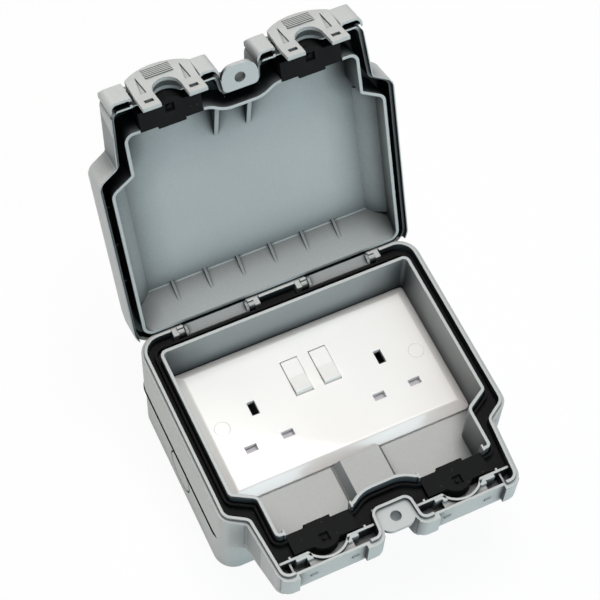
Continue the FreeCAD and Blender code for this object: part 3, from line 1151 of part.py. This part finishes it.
def earth_bar():
    """Strip under both earth slots with a contact for each outlet."""
    y = EARTH_Y
    strip = block((-OUTLET_X - CONTACT_HALF, OUTLET_X + CONTACT_HALF), (y - BAR_WIDTH / 2, y - 1),
                  (BAR_Z, BAR_Z + BAR_THICK))
    ends = [block((x - CONTACT_HALF, x + CONTACT_HALF), (y - BAR_WIDTH / 2, y + BAR_WIDTH / 2),
                  (BAR_Z, BAR_Z + BAR_THICK))
            for x in (-OUTLET_X, OUTLET_X)]
    contacts = pin_contact(-OUTLET_X, y) + pin_contact(OUTLET_X, y)
    return joined(strip, *ends, *contacts)


def neutral_bar():
    """Strip along the lower edge with a contact under each left-hand slot."""
    y = LIVE_Y
    low_y = MODULE_FRONT_Y + MODULE_WALL + BAR_INSET
    left = -OUTLET_X - LIVE_SPACING / 2
    right = OUTLET_X - LIVE_SPACING / 2
    level = (BAR_Z, BAR_Z + BAR_THICK)
    strip = block((left - CONTACT_HALF, right + CONTACT_HALF), (low_y, low_y + 4), level)
    arms = [block((x - CONTACT_HALF, x + CONTACT_HALF), (low_y, y + BAR_WIDTH / 2),
                  level) for x in (left, right)]
    return joined(strip, *arms, *pin_contact(left, y), *pin_contact(right, y))


def line_contact(x, switch_x):
    """Contact under a right-hand slot with a strip to its switch and an upstand under the arm."""
    y = LIVE_Y
    level = (LINE_Z, LINE_Z + BAR_THICK)
    slot_x = x + LIVE_SPACING / 2
    line_y = y + BAR_WIDTH / 2
    stand_y = ROCKER_Y - 4
    pad = block((slot_x - CONTACT_HALF, slot_x + CONTACT_HALF), (y - BAR_WIDTH / 2, line_y), level)
    run = block((min(slot_x, switch_x) - 2, max(slot_x, switch_x) + 2), (line_y - 1, line_y + 2), level)
    rise = block((switch_x - 2, switch_x + 2), (line_y - 1, stand_y), level)
    low_end = stand_y - ROCKER_Y
    arm_drop = (ROCKER_LEG_Z - BAR_THICK - ROCKER_PIVOT_Z) * math.cos(math.radians(ROCKER_THROW))
    top = ROCKER_PIVOT_Z + arm_drop + low_end * math.sin(math.radians(ROCKER_THROW)) - SWITCH_GAP
    stand = block((switch_x - 2, switch_x + 2), (stand_y - BAR_THICK, stand_y), (LINE_Z, top))
    cheeks = [c.cut(block((-FAR, FAR), (-FAR, FAR), (0, LINE_Z))) for c in pin_contact(slot_x, y)]
    return joined(pad, run, rise, stand, *cheeks)


def line_bus():
    """Strip behind the rockers with an upstand beside each switch arm."""
    y = ROCKER_Y + 6
    strip = block((-ROCKER_X - 4, ROCKER_X + 4), (y, y + 5), (LINE_Z, LINE_Z + BAR_THICK))
    top = ROCKER_LEG_Z - BAR_THICK - SWITCH_GAP
    stands = [block((x - 2, x + 2), (y - 2, y - 2 + BAR_THICK), (LINE_Z, top)) for x in (-ROCKER_X,
                                                                                         ROCKER_X)]
    feet = [block((x - 2, x + 2), (y - 2, y + 1), (LINE_Z, LINE_Z + BAR_THICK)) for x in (-ROCKER_X,
                                                                                          ROCKER_X)]
    return joined(strip, *stands, *feet)


def switch_arm(x):
    """Contact bar carried by the rocker's leg."""
    return block((x - 3, x + 3), (ROCKER_Y - 6, ROCKER_Y + 6), (ROCKER_LEG_Z - BAR_THICK, ROCKER_LEG_Z))


def terminal_screws():
    """Screws that clamp the supply wires to the bars."""
    z = BAR_Z + BAR_THICK
    spots = ((0, EARTH_Y - 2.2, z), (0, MODULE_FRONT_Y + MODULE_WALL + BAR_INSET + 2, z),
             (0, ROCKER_Y + 8.5, LINE_Z + BAR_THICK))
    screws = [rod(spot, ALONG_Z, TERMINAL_R / 2, TERMINAL_HEIGHT) for spot in spots]
    return Part.makeCompound(screws)


def box_earth_terminal():
    """Brass earth post on the box's floor."""
    post = rod((0, -BOX_HALF_Y + 4 * BOX_WALL, BOX_FLOOR), ALONG_Z, 2 * TERMINAL_R, TERMINAL_HEIGHT)
    screw = rod((0, -BOX_HALF_Y + 4 * BOX_WALL, BOX_FLOOR + TERMINAL_HEIGHT), ALONG_Z, TERMINAL_R, 2)
    return post.fuse(screw)


def build():
    """Every node by name."""
    long_gasket, short_gasket = gasket_parts()
    base_grommet = grommet(GROMMET_HALF_X, GROMMET_BOTTOM_Z, GROMMET_TOP_Z, True)
    lid_grommet = grommet(LID_GROMMET_HALF_X, LID_RIM_Z, LID_RIM_Z + LID_DEPTH / 2, False)
    nodes = {
        "back_box": back_box(),
        "box_seal": box_seal(),
        "front_frame": front_frame(),
        "frame_gasket": long_gasket,
        "centre_gasket": short_gasket,
        "lid": opened(lid_closed()),
        "hinge_pins": hinge_pins(),
        "socket_faceplate": socket_faceplate(),
        "plate_screws": plate_screws(),
        "screw_caps": screw_caps(),
        "lug_inserts": lug_inserts(),
        "frame_screws": frame_screws(),
        "module_housing": module_housing(),
        "module_screws": module_screws(),
        "earth_bar": earth_bar(),
        "neutral_bar": neutral_bar(),
        "line_bus": line_bus(),
        "terminal_screws": terminal_screws(),
        "box_earth_terminal": box_earth_terminal(),
    }
    latch = latch_closed()
    pivot = V(0, LATCH_PIVOT_Y, LATCH_PIVOT_Z)
    latch.rotate(pivot, ALONG_X, -LATCH_REST_SWING)
    for name, way in (("left", -1), ("right", 1)):
        moved = latch.copy()
        moved.translate(V(way * LATCH_X, 0, 0))
        nodes["latch_" + name] = opened(moved)
        pin = latch_pin()
        nodes["latch_pin_" + name] = opened(pin if way > 0 else other_side(pin))
        low = base_grommet.copy()
        low.translate(V(way * LATCH_X, 0, 0))
        nodes["base_grommet_" + name] = low
        high = lid_grommet.copy()
        high.translate(V(way * LATCH_X, LID_GROMMET_SHIFT, 0))
        nodes["lid_grommet_" + name] = opened(high)
        nodes["rocker_" + name] = rocker(way * ROCKER_X)
        nodes["shutter_" + name] = shutter(way * OUTLET_X)
        nodes["shutter_spring_" + name] = shutter_spring(way * OUTLET_X)
        nodes["line_contact_" + name] = line_contact(way * OUTLET_X, way * ROCKER_X)
        nodes["switch_arm_" + name] = switch_arm(way * ROCKER_X)
    for node in PLATE_GROUP:
        moved = nodes[node].copy()
        moved.translate(V(PLATE_SHIFT, 0, 0))
        nodes[node] = moved
    return nodes


os.makedirs("parts", exist_ok=True)
for node, shape in build().items():
    print(node, len(shape.Solids), round(shape.Volume, 1), shape.isValid())
    shape.exportStep("parts/" + node + ".step")
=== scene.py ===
# %% [markdown]
# An outdoor twin socket in two grey mouldings stands open on a white floor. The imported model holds
# the real pieces in metres, and this lesson dresses them: plastics, rubber, metal, light and camera.
# The model is loaded first, because the later steps take their pieces and sizes from it.

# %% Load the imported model
import json
import math
import bpy
import numpy as np
from mathutils import Matrix, Vector


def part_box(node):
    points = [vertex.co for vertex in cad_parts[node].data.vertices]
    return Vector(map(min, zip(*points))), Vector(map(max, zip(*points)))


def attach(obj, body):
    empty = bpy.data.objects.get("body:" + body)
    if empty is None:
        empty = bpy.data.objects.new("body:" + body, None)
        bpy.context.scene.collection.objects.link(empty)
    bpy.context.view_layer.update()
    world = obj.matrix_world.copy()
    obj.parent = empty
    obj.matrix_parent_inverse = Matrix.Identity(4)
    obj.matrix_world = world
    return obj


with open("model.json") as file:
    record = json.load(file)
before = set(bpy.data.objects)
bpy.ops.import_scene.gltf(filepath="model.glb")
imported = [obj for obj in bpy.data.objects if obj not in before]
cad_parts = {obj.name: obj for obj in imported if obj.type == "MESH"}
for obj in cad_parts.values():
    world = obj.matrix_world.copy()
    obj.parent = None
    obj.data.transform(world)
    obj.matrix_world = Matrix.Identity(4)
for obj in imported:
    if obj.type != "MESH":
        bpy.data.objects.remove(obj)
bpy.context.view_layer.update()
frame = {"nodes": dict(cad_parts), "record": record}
nodes = frame["nodes"]

# %% [markdown]
# The camera looks down on the open box from in front of its left side, through a long lens that
# keeps the far lid nearly as large as the near rim. A constraint could aim it, but place, direction
# and lens belong together, so its three axes are written straight into its matrix.

# %% Camera
CAMERA_PLACE = np.array([-0.23025, -0.39384, 0.95037])
CAMERA_RIGHT = np.array([0.90368, -0.42692, 0.03321])
AZIMUTH = math.radians(28.62)
DIP = math.radians(60.23)
LENS_MM = 107.59
SENSOR_MM = 36.0


def linked(name, data):
    """An object that holds this mesh, lamp or camera, linked into the scene."""
    item = bpy.data.objects.new(name, data)
    bpy.context.scene.collection.objects.link(item)
    return item


ahead = np.array([math.cos(DIP) * math.sin(AZIMUTH), math.cos(DIP) * math.cos(AZIMUTH), -math.sin(DIP)])
right = CAMERA_RIGHT - ahead * CAMERA_RIGHT.dot(ahead)
right /= np.linalg.norm(right)
turn = np.eye(4)
turn[:3] = np.column_stack([right, np.cross(right, ahead), -ahead, CAMERA_PLACE])
camera_data = bpy.data.cameras.new("camera")
camera_data.lens = LENS_MM
camera_data.sensor_width = SENSOR_MM
camera = linked("camera", camera_data)
camera.matrix_world = Matrix(turn.tolist())
bpy.context.scene.camera = camera
bpy.context.scene.view_settings.view_transform = "Standard"
print("camera at", CAMERA_PLACE)

# %% [markdown]
# A finish is a sum of noises, masks and colours. Math nodes could be linked one by one, but such
# sums read best as plain arithmetic, so a small class stands for an output socket, and each of its
# operators adds the node that does it. A second class holds the material and adds any node.

# %% Sockets that can be added and multiplied
class Wire:
    """An output socket. wire + 1 is an Add node, 1 - wire a Subtract node, and so on."""

    def __init__(self, finish, socket):
        self.finish, self.socket = finish, socket

    def maths(self, operation, first, second=0.0):
        return self.finish.node("ShaderNodeMath", {"operation": operation}, {0: first, 1: second})

    def __add__(self, other):
        return self.maths("ADD", self, other)

    def __sub__(self, other):
        return self.maths("SUBTRACT", self, other)

    def __rsub__(self, other):
        return self.maths("SUBTRACT", other, self)

    def __mul__(self, other):
        return self.maths("MULTIPLY", self, other)

    def __pow__(self, other):
        return self.maths("POWER", self, other)

    def __abs__(self):
        return self.maths("ABSOLUTE", self)

    def __gt__(self, other):
        return self.maths("GREATER_THAN", self, other)

    def __lt__(self, other):
        return self.maths("LESS_THAN", self, other)

    __radd__ = __add__
    __rmul__ = __mul__


# %% Materials that add their own nodes
class Finish:
    """A material with its Principled shader, and a method for each kind of node it needs."""

    def __init__(self, name):
        self.material = bpy.data.materials.new(name)
        self.material.use_nodes = True
        self.tree = self.material.node_tree
        self.shader = self.tree.nodes["Principled BSDF"]

    def fill(self, socket, value):
        """Links a Wire to an input, or sets the input to a plain value."""
        if isinstance(value, Wire):
            self.tree.links.new(value.socket, socket)
        else:
            socket.default_value = value

    def node(self, kind, settings, inputs, output=0):
        """Adds a node, sets it, fills its inputs, and returns one output as a Wire."""
        made = self.tree.nodes.new(kind)
        for key, value in settings.items():
            setattr(made, key, value)
        for key, value in inputs.items():
            self.fill(made.inputs[key], value)
        return Wire(self, made.outputs[output])

    def set(self, **values):
        """Fills the shader's own sockets; an underscore in a name stands for a space."""
        for key, value in values.items():
            self.fill(self.shader.inputs[key.replace("_", " ")], value)

    def place(self):
        """Object coordinates, so that the pattern stays on the piece when it moves."""
        return self.node("ShaderNodeTexCoord", {}, {}, "Object")

    def facing(self):
        """The direction that a face looks in, in the piece's own axes."""
        return self.node("ShaderNodeTexCoord", {}, {}, "Normal")

    def axis(self, vector, index):
        """One number of a vector: 0 for x, 1 for y, 2 for z."""
        return self.node("ShaderNodeSeparateXYZ", {}, {0: vector}, index)

    def noise(self, scale, detail=2.0, roughness=0.5):
        """A noise from 0 to 1 with about scale lumps a metre."""
        return self.node("ShaderNodeTexNoise", {},
                         {"Vector": self.place(), "Scale": scale, "Detail": detail, "Roughness": roughness})

    def mix(self, factor, first, second):
        """Mixes two colours by a factor from 0 to 1."""
        return self.node("ShaderNodeMix", {"data_type": "RGBA"}, {0: factor, 6: first, 7: second}, 2)

    def soft(self, radius):
        """Normals that turn over an edge as if it were rounded."""
        return self.node("ShaderNodeBevel", {"samples": 6}, {"Radius": radius})

    def bump(self, height, depth, strength, soft_edge):
        """Bump from a height in units of depth, over edges rounded by soft_edge metres."""
        return self.node("ShaderNodeBump", {}, {"Height": height, "Distance": depth, "Strength": strength,
                                                "Normal": self.soft(soft_edge)})

    def openness(self, reach):
        """1 on a free face, falling to 0 where the same piece shuts a point in within reach metres."""
        return self.node("ShaderNodeAmbientOcclusion", {"samples": 8, "only_local": True},
                         {"Distance": reach}, "AO")


def rgb(red, green, blue):
    """A colour written as it looks, from 0 to 255, turned into light: each channel is raised to 2.4
    after a small offset, and the darkest are divided by 12.92."""
    channels = [channel / 255 for channel in (red, green, blue)]
    return tuple(c / 12.92 if c <= 0.04045 else ((c + 0.055) / 1.055) ** 2.4 for c in channels) + (1.0,)


print("a mid grey is", round(rgb(128, 128, 128)[0], 3), "of white in light")

# %% [markdown]
# The housings are moulded in one grey, filled plastic with a fine spark-eroded grain. One flat grey
# would look like clay, so two noises give the colour a cloudy drift and a grain of a millimetre.
# Hollows get little light, and that shade is painted into the colour: an ambient occlusion node
# measures how shut in a point is, and the colour sinks to a dark slate there as painted shade. Inner
# walls get a cool painted shade, faces that look up keep more of their colour as painted light from
# above, and on the lid a painted shadow lies on the panel by the hinge.

# %% Grey moulding
# Colours, reaches and powers of the painted shade in hollows and on walls.
COOL_WALL_SHADE = rgb(54, 72, 82)
SHADE_REACH = 0.014
WIDE_SHADE_REACH = 2.2 * SHADE_REACH
WIDE_SHADE_POWER = 1.9
SQUARE_ON = 0.8
HINGE_PANEL_TOP = 0.12


def grey_moulding(name, light, dark, shade, near_shade, near_shade_power, top_light, wall_shade_box, lid_hinge_shadow=0.0):
    """Colour = dark to light by 35% clouds and 65% grain, then a share of painted shade in cool slate on
    walls inside the given wall box, then towards the shade colour by the wide openness and towards the
    near shade colour by the near openness, as painted shade in hollows. Each openness is raised to its
    power, and faces that look up gain the top light share in the first and half in the second, as
    painted light from above. On the lid only walls that face sideways get the wall shade, and the hinge
    share paints a shadow on the panel by the hinge. Roughness = 0.38 plus a tenth of each noise, and the
    grain is also the bump."""
    grey = Finish(name)
    clouds = grey.noise(26.0, 3.0)
    grain = grey.noise(950.0, 3.0, 0.6)
    plain = grey.mix(clouds * 0.35 + grain * 0.65, rgb(*dark), rgb(*light))
    upward = grey.axis(grey.facing(), 2) > SQUARE_ON
    across, along, height = [grey.axis(grey.place(), index) for index in range(3)]
    # Painted shade: inner walls inside the given box sink by a share towards a cool slate, as if little light
    # reached them.
    wall_shade = (abs(across) < wall_shade_box["half"]) * (along > wall_shade_box["front"]) * (along < wall_shade_box["rear"])
    wall_shade = wall_shade * (height > wall_shade_box["low"]) * (height < wall_shade_box["high"]) * (1.0 - upward)
    if lid_hinge_shadow:
        wall_shade = wall_shade * (abs(grey.axis(grey.facing(), 0)) > SQUARE_ON)
    plain = grey.mix(wall_shade * wall_shade_box["share"], plain, COOL_WALL_SHADE)
    # Painted shade: the colour sinks towards the shade colours where ambient occlusion finds a hollow, and
    # faces that look up are spared part of it as painted light from above.
    wide_unshaded = grey.openness(WIDE_SHADE_REACH) ** WIDE_SHADE_POWER + upward * top_light
    near_unshaded = grey.openness(SHADE_REACH) ** near_shade_power + upward * (top_light * 0.5)
    colour = grey.mix(near_unshaded, rgb(*near_shade), grey.mix(wide_unshaded, rgb(*shade), plain))
    # Painted shadow: on the lid, faces that look up low by the hinge sink towards the shade colour.
    if lid_hinge_shadow:
        colour = grey.mix(upward * (height < HINGE_PANEL_TOP) * lid_hinge_shadow, colour, rgb(*shade))
    grey.set(Base_Color=colour, Roughness=clouds * 0.1 + grain * 0.1 + 0.38,
             Normal=grey.bump(grain, 0.00006, 0.5, 0.0006))
    return grey.material


# %% [markdown]
# The body and the lid are the same plastic, but the lid stands up and catches more light, so the
# painted shade in its hollows is set darker. Each gets the box in which its inner walls get a cool
# painted shade, in metres.

# %% Body grey and lid grey
WELL_SHADE_BOX = {"half": 0.0752, "front": -0.0812, "rear": 0.0485, "low": 0.0482, "high": 0.09, "share": 0.35}
LID_SHADE_BOX = {"half": 0.0765, "front": 0.03, "rear": 0.13, "low": 0.0805, "high": 0.203, "share": 0.5}

body_grey = grey_moulding("body grey", light=(202, 203, 201), dark=(177, 179, 178), shade=(24, 34, 40),
                          near_shade=(40, 48, 52), near_shade_power=1.6, top_light=0.45, wall_shade_box=WELL_SHADE_BOX)
lid_grey = grey_moulding("lid grey", light=(204, 206, 205), dark=(178, 181, 181), shade=(36, 46, 50),
                         near_shade=(6, 12, 15), near_shade_power=3.0, top_light=0.0, wall_shade_box=LID_SHADE_BOX, lid_hinge_shadow=0.42)
print("greys:", body_grey.name, "and", lid_grey.name)

# %% [markdown]
# The seals and the cable grommets are black rubber, dull and a little dusty. Black alone would lose
# their shape, so a fine grain lifts it to charcoal, and a few brownish specks come from a second
# noise that is cut at a high level.

# %% Black rubber
def black_rubber():
    """Colour = black to charcoal by a fine grain, with a quarter of brown where a second noise passes
    a level. Roughness = 0.6 plus a fifth of the grain, which is also the bump."""
    rubber = Finish("black rubber")
    grain = rubber.noise(800.0, 4.0, 0.7)
    specks = rubber.noise(420.0, 2.0, 0.6) > 0.7
    black = rubber.mix(grain, rgb(3, 3, 4), rgb(20, 20, 21))
    rubber.set(Base_Color=rubber.mix(specks * 0.25, black, rgb(92, 78, 66)), Specular_IOR_Level=0.2,
               Roughness=grain * 0.2 + 0.6, Normal=rubber.bump(grain, 0.0004, 0.6, 0.0005))
    return rubber.material


# %% [markdown]
# The socket plate, the rockers and the caps are glossy white moulded plastic. Its colour barely
# changes, so the gloss, a thin coat and the softened edges do the work. A faint ripple breaks the
# reflections, as the mould's polish does on the real plate.

# %% White plastic
def white_plastic():
    """Colour = one near white to another by a slow noise. Roughness = 0.16 plus a little of that
    noise. A finer noise is a very shallow bump."""
    white = Finish("white plastic")
    drift = white.noise(16.0, 2.0)
    ripple = white.noise(120.0, 1.0)
    white.set(Base_Color=white.mix(drift, rgb(247, 243, 240), rgb(251, 248, 246)),
              Roughness=drift * 0.06 + 0.16, Coat_Weight=0.3,
              Normal=white.bump(ripple, 0.00002, 0.3, 0.0008))
    return white.material


# %% [markdown]
# Behind the slots the plate gives way to the switch housing and its sliding shutters. The earth
# slots look into a brown hollow. A second material would need the piece cut up, so the one colour
# changes with the distance from the slots instead.

# %% Housing plastic
EARTH_SLOTS = ((-0.0378, 0.0049), (0.0410, 0.0049))
HOLLOW_RADIUS = 0.009


def housing_plastic():
    """Colour = lilac grey by a grain, and brown where the distance in plan from an earth slot's centre
    is under the hollow's radius. Roughness = 0.4 plus a little of the grain."""
    housing = Finish("housing plastic")
    grain = housing.noise(500.0, 3.0)
    flat = housing.node("ShaderNodeVectorMath", {"operation": "MULTIPLY"}, {0: housing.place(), 1: (1, 1, 0)})
    left, right = [housing.node("ShaderNodeVectorMath", {"operation": "DISTANCE"}, {0: flat, 1: (x, y, 0)},
                                "Value") < HOLLOW_RADIUS for x, y in EARTH_SLOTS]
    pale = housing.mix(grain, rgb(176, 172, 180), rgb(196, 193, 200))
    housing.set(Base_Color=housing.mix(left + right, pale, rgb(150, 84, 66)), Roughness=grain * 0.15 + 0.4)
    return housing.material


# %% [markdown]
# Screws and pins are bright zinc-plated steel, and the contact bars are brass. Both are drawn or
# rolled, so a noise that is stretched along one side gives them faint lines, where an even noise
# would look cast.

# %% Metals
STRETCH = (0.125, 1.0, 1.0)


def drawn_metal(name, colour, rough):
    """Colour = four fifths of it to all of it by a noise eight times longer along X than across.
    Roughness = rough plus a fifth of that noise, which is also a slight bump."""
    metal = Finish(name)
    along = metal.node("ShaderNodeMapping", {}, {"Vector": metal.place(), "Scale": STRETCH})
    lines = metal.node("ShaderNodeTexNoise", {}, {"Vector": along, "Scale": 900.0, "Detail": 3.0})
    darker = tuple(0.8 * channel for channel in colour[:3]) + (1.0,)
    metal.set(Base_Color=metal.mix(lines, darker, colour), Metallic=1.0, Roughness=lines * 0.2 + rough,
              Normal=metal.bump(lines, 0.00003, 0.4, 0.0003))
    return metal.material


# %% [markdown]
# Each piece could be given its material by hand, but the record names every piece's finish by its
# slot, so one table dresses the whole model. A piece's own mesh stays as it is.

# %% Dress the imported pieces
finishes = {
    "grey_body": body_grey,
    "black_rubber": black_rubber(),
    "white_plastic": white_plastic(),
    "housing_plastic": housing_plastic(),
    "steel": drawn_metal("zinc steel", rgb(200, 201, 204), 0.25),
    "brass": drawn_metal("brass", rgb(205, 175, 110), 0.25),
}
for part in frame["record"]["subparts"]:
    piece = nodes[part["node"]]
    piece.data.materials.clear()
    piece.data.materials.append(lid_grey if part["node"] == "lid" else finishes[part["material_slot"]])
print(len(finishes), "finishes on", len(nodes), "pieces")

# %% [markdown]
# Some thin trim is too fine for the solids and is made here as surfaces. A curve with a bevel could
# do it, but a mesh worked out as one grid of numbers is easy to check: a small profile is carried
# along a path, and each new piece then gets its material and the body that it rides on.

# %% New pieces from grids of points
UP = np.array([0.0, 0.0, 1.0])


def new_piece(name, points, faces):
    """An object whose mesh has these points and these lists of corners."""
    mesh = bpy.data.meshes.new(name)
    mesh.from_pydata(points.tolist(), [], faces)
    mesh.update()
    return linked(name, mesh)


def carried(name, path, outward, profile):
    """Point (i, j) = path point i + its outward direction * the profile's first number j + up * the
    second. Path and profile are both closed loops, so the grid closes both ways."""
    grid = path[:, None] + outward[:, None] * profile[None, :, :1] + UP * profile[None, :, 1:]
    rows, columns = grid.shape[:2]
    i, j = [index.ravel() for index in np.meshgrid(np.arange(rows), np.arange(columns), indexing="ij")]
    far, side = (i + 1) % rows, (j + 1) % columns
    quads = np.stack([i * columns + j, i * columns + side, far * columns + side, far * columns + j], 1)
    return new_piece(name, grid.reshape(-1, 3), quads.tolist())


def fitted(piece, material, body, bevel=0.0):
    """Gives a new piece its material, its body and, if asked, softened edges."""
    piece.data.materials.append(material)
    if bevel:
        edge = piece.modifiers.new("soft edge", "BEVEL")
        edge.width, edge.segments = bevel, 2
    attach(piece, body)


# %% [markdown]
# Where the front moulding comes down over the wall box, the seam shows as a dark hairline of shade. A
# dark line in the colour would vanish from the side, so this painted shade is a real black bead. It
# follows the box's rounded rectangle: four quarter arcs, whose ends the straight sides join.

# %% Seam shade bead
SEAM_BEAD = 0.00042
SEAM_CORNER = 0.0128
BEAD_SIDES = 12
ARC_STEPS = 12


def rounded_loop(half_x, half_y, corner, level):
    """Point = the arc's centre + corner * (cos, sin) over four quarter turns, at one level, and the
    outward direction is (cos, sin)."""
    quarter_turn = np.linspace(0, math.pi / 2, ARC_STEPS)
    angles = np.concatenate([quarter_turn + quarter * math.pi / 2 for quarter in range(4)])
    signs = np.repeat([(1, 1), (-1, 1), (-1, -1), (1, -1)], ARC_STEPS, axis=0)
    outward = np.stack([np.cos(angles), np.sin(angles), 0 * angles], 1)
    centre = signs * (half_x - corner, half_y - corner)
    return np.column_stack([centre, np.full(len(angles), level)]) + outward * corner, outward


frame_low, frame_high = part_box("front_frame")
around = np.linspace(0, 2 * math.pi, BEAD_SIDES + 1)[:-1]
bead = SEAM_BEAD * np.stack([np.cos(around), np.sin(around)], 1)
seam_path, seam_out = rounded_loop(frame_high[0], frame_high[1], SEAM_CORNER, frame_low[2])
# A black bead stands in for the dark line of shade at the seam: painted shade made as a piece.
seam_shade = carried("seam_shade_bead", seam_path, seam_out, bead)
fitted(seam_shade, finishes["black_rubber"], "base")
print("seam of", len(seam_shade.data.vertices), "points at height", round(frame_low[2], 4))

# %% [markdown]
# Beside each cable way the front web steps forward like a stair, seen from above. Boxes could be
# stacked, but their hidden faces would lie in each other, so a stair is one outline raised to its
# height: its zigzag out along the front, and straight back just inside the web.

# %% Stair webs
WEB_Y = -0.0934
WEB_TOP = 0.0742
WEB_FOOT = 0.0640
STEP = 0.0016
SUNK = 0.0002
EDGE_SOFTNESS = 0.0002
STAIRS = {"outer": (0.0587, (0.0057, 0.0092)), "inner": (0.0226, (-0.0042, -0.0068))}


def stair(name, start_x, way, treads, low, high):
    """Outline in plan: tread k runs to start + way * its edge, at WEB_Y - (k + 1) * STEP, and the line
    then goes back along WEB_Y. The outline at low and at high gives the sides and the two ends."""
    edges = np.array([0.0] + list(treads))
    depth = WEB_Y - STEP * np.arange(1, len(treads) + 1)
    front_x = start_x + way * np.repeat(edges, 2)[1:-1]
    front = np.stack([front_x, np.repeat(depth, 2)], 1)
    plan = np.concatenate([front, [(front_x[-1], WEB_Y + SUNK), (start_x, WEB_Y + SUNK)]])
    count = len(plan)
    grid = np.concatenate([np.column_stack([plan, np.full(count, level)]) for level in (low, high)])
    ring = np.arange(count)
    after = (ring + 1) % count
    sides = np.stack([ring, after, after + count, ring + count], 1).tolist()
    return new_piece(name, grid, sides + [ring[::-1].tolist(), (ring + count).tolist()])


for side, way in (("left", -1), ("right", 1)):
    for end, (start_x, treads) in STAIRS.items():
        web = stair("web_stair_%s_%s" % (end, side), way * start_x, -way, treads, WEB_FOOT, WEB_TOP)
        fitted(web, body_grey, "base", EDGE_SOFTNESS)
print(2 * len(STAIRS), "stair webs at", WEB_Y)

# %% [markdown]
# The object stands on a plain white floor. A lit floor turns grey away from the lamps, so to the
# camera this one mostly glows white, and it keeps a small part of its real shading, which leaves
# the object's faint shadow on it. For the light that it throws up it is an ordinary white sheet.

# %% White floor
FLOOR_HALF = 3.0
FLOOR_Z = -0.0003
CAMERA_GLOW = 0.93
MIRROR_GLOW = 0.5

floor_corners = np.array([(-1, -1, 0), (1, -1, 0), (1, 1, 0), (-1, 1, 0)], float) * FLOOR_HALF
floor = new_piece("floor", floor_corners + (0, 0, FLOOR_Z), [(0, 1, 2, 3)])
sweep = Finish("white sweep")
sweep.set(Base_Color=(0.9, 0.9, 0.9, 1.0), Roughness=0.9)
camera_ray = sweep.node("ShaderNodeLightPath", {}, {}, "Is Camera Ray")
mirror_ray = sweep.node("ShaderNodeLightPath", {}, {}, "Is Glossy Ray")
glow = sweep.node("ShaderNodeEmission", {}, {"Color": (1, 1, 1, 1), "Strength": 1.0})
lit = Wire(sweep, sweep.shader.outputs[0])
seen = sweep.node("ShaderNodeMixShader", {}, {0: camera_ray * CAMERA_GLOW + mirror_ray * MIRROR_GLOW,
                                              1: lit, 2: glow})
sweep.fill(sweep.tree.nodes["Material Output"].inputs["Surface"], seen)
floor.data.materials.append(sweep.material)
print("floor of", 2 * FLOOR_HALF, "m")

# %% [markdown]
# The room behind the floor is white to the camera, but it lights the object only weakly and coolly,
# as a studio's walls do. One world can't be both, so the kind of ray chooses between two.

# %% Room
ROOM_COLOUR = (0.86, 0.95, 1.0, 1.0)
ROOM_STRENGTH = 0.12
WHITE = (1.0, 1.0, 1.0, 1.0)

world = bpy.data.worlds.new("studio")
bpy.context.scene.world = world
world.use_nodes = True
room = world.node_tree
cool_room = room.nodes["Background"]
cool_room.inputs["Color"].default_value = ROOM_COLOUR
cool_room.inputs["Strength"].default_value = ROOM_STRENGTH
white_room = room.nodes.new("ShaderNodeBackground")
white_room.inputs["Color"].default_value = WHITE
white_room.inputs["Strength"].default_value = 1.0
path = room.nodes.new("ShaderNodeLightPath")
either = room.nodes.new("ShaderNodeMixShader")
room.links.new(path.outputs["Is Camera Ray"], either.inputs[0])
room.links.new(cool_room.outputs[0], either.inputs[1])
room.links.new(white_room.outputs[0], either.inputs[2])
room.links.new(either.outputs[0], room.nodes["World Output"].inputs["Surface"])
print("room light of", ROOM_STRENGTH)

# %% [markdown]
# The light is a studio's: a big soft lamp overhead, a cool one in front and a neutral one behind
# that lift the upright faces, and a small low one on the left that grazes the outside wall. Point
# lamps would cast hard shadows, while an area lamp's size sets how soft its shadow is.

# %% Studio lamps
WARM = (1.0, 0.98, 0.955)
COOL = (0.75, 0.94, 1.0)
NEUTRAL = (1.0, 0.99, 0.97)
LOW_WARM = (1.0, 0.98, 0.90)


def lamp(name, place, target, size, watts, colour):
    """A square soft lamp at a place, turned to a target."""
    data = bpy.data.lights.new(name, "AREA")
    data.size, data.energy, data.color = size, watts, colour
    item = linked(name, data)
    away = np.array(place, float) - np.array(target, float)
    item.rotation_euler = Vector(away).to_track_quat("Z", "Y").to_euler()
    item.location = place


lamp("key", (0.12, 0.2, 1.4), (0, 0, 0.05), size=0.7, watts=14.0, colour=WARM)
lamp("front fill", (0.3, -1.5, 0.8), (0, 0, 0.1), size=0.9, watts=13.3, colour=COOL)
lamp("back fill", (-0.4, 1.6, 0.7), (0, 0.05, 0.1), size=0.9, watts=7.0, colour=NEUTRAL)
lamp("low side fill", (-0.9, 0.12, 0.055), (-0.08, 0, 0.03), size=0.25, watts=1.6, colour=LOW_WARM)
print(len(bpy.data.lights), "lamps")
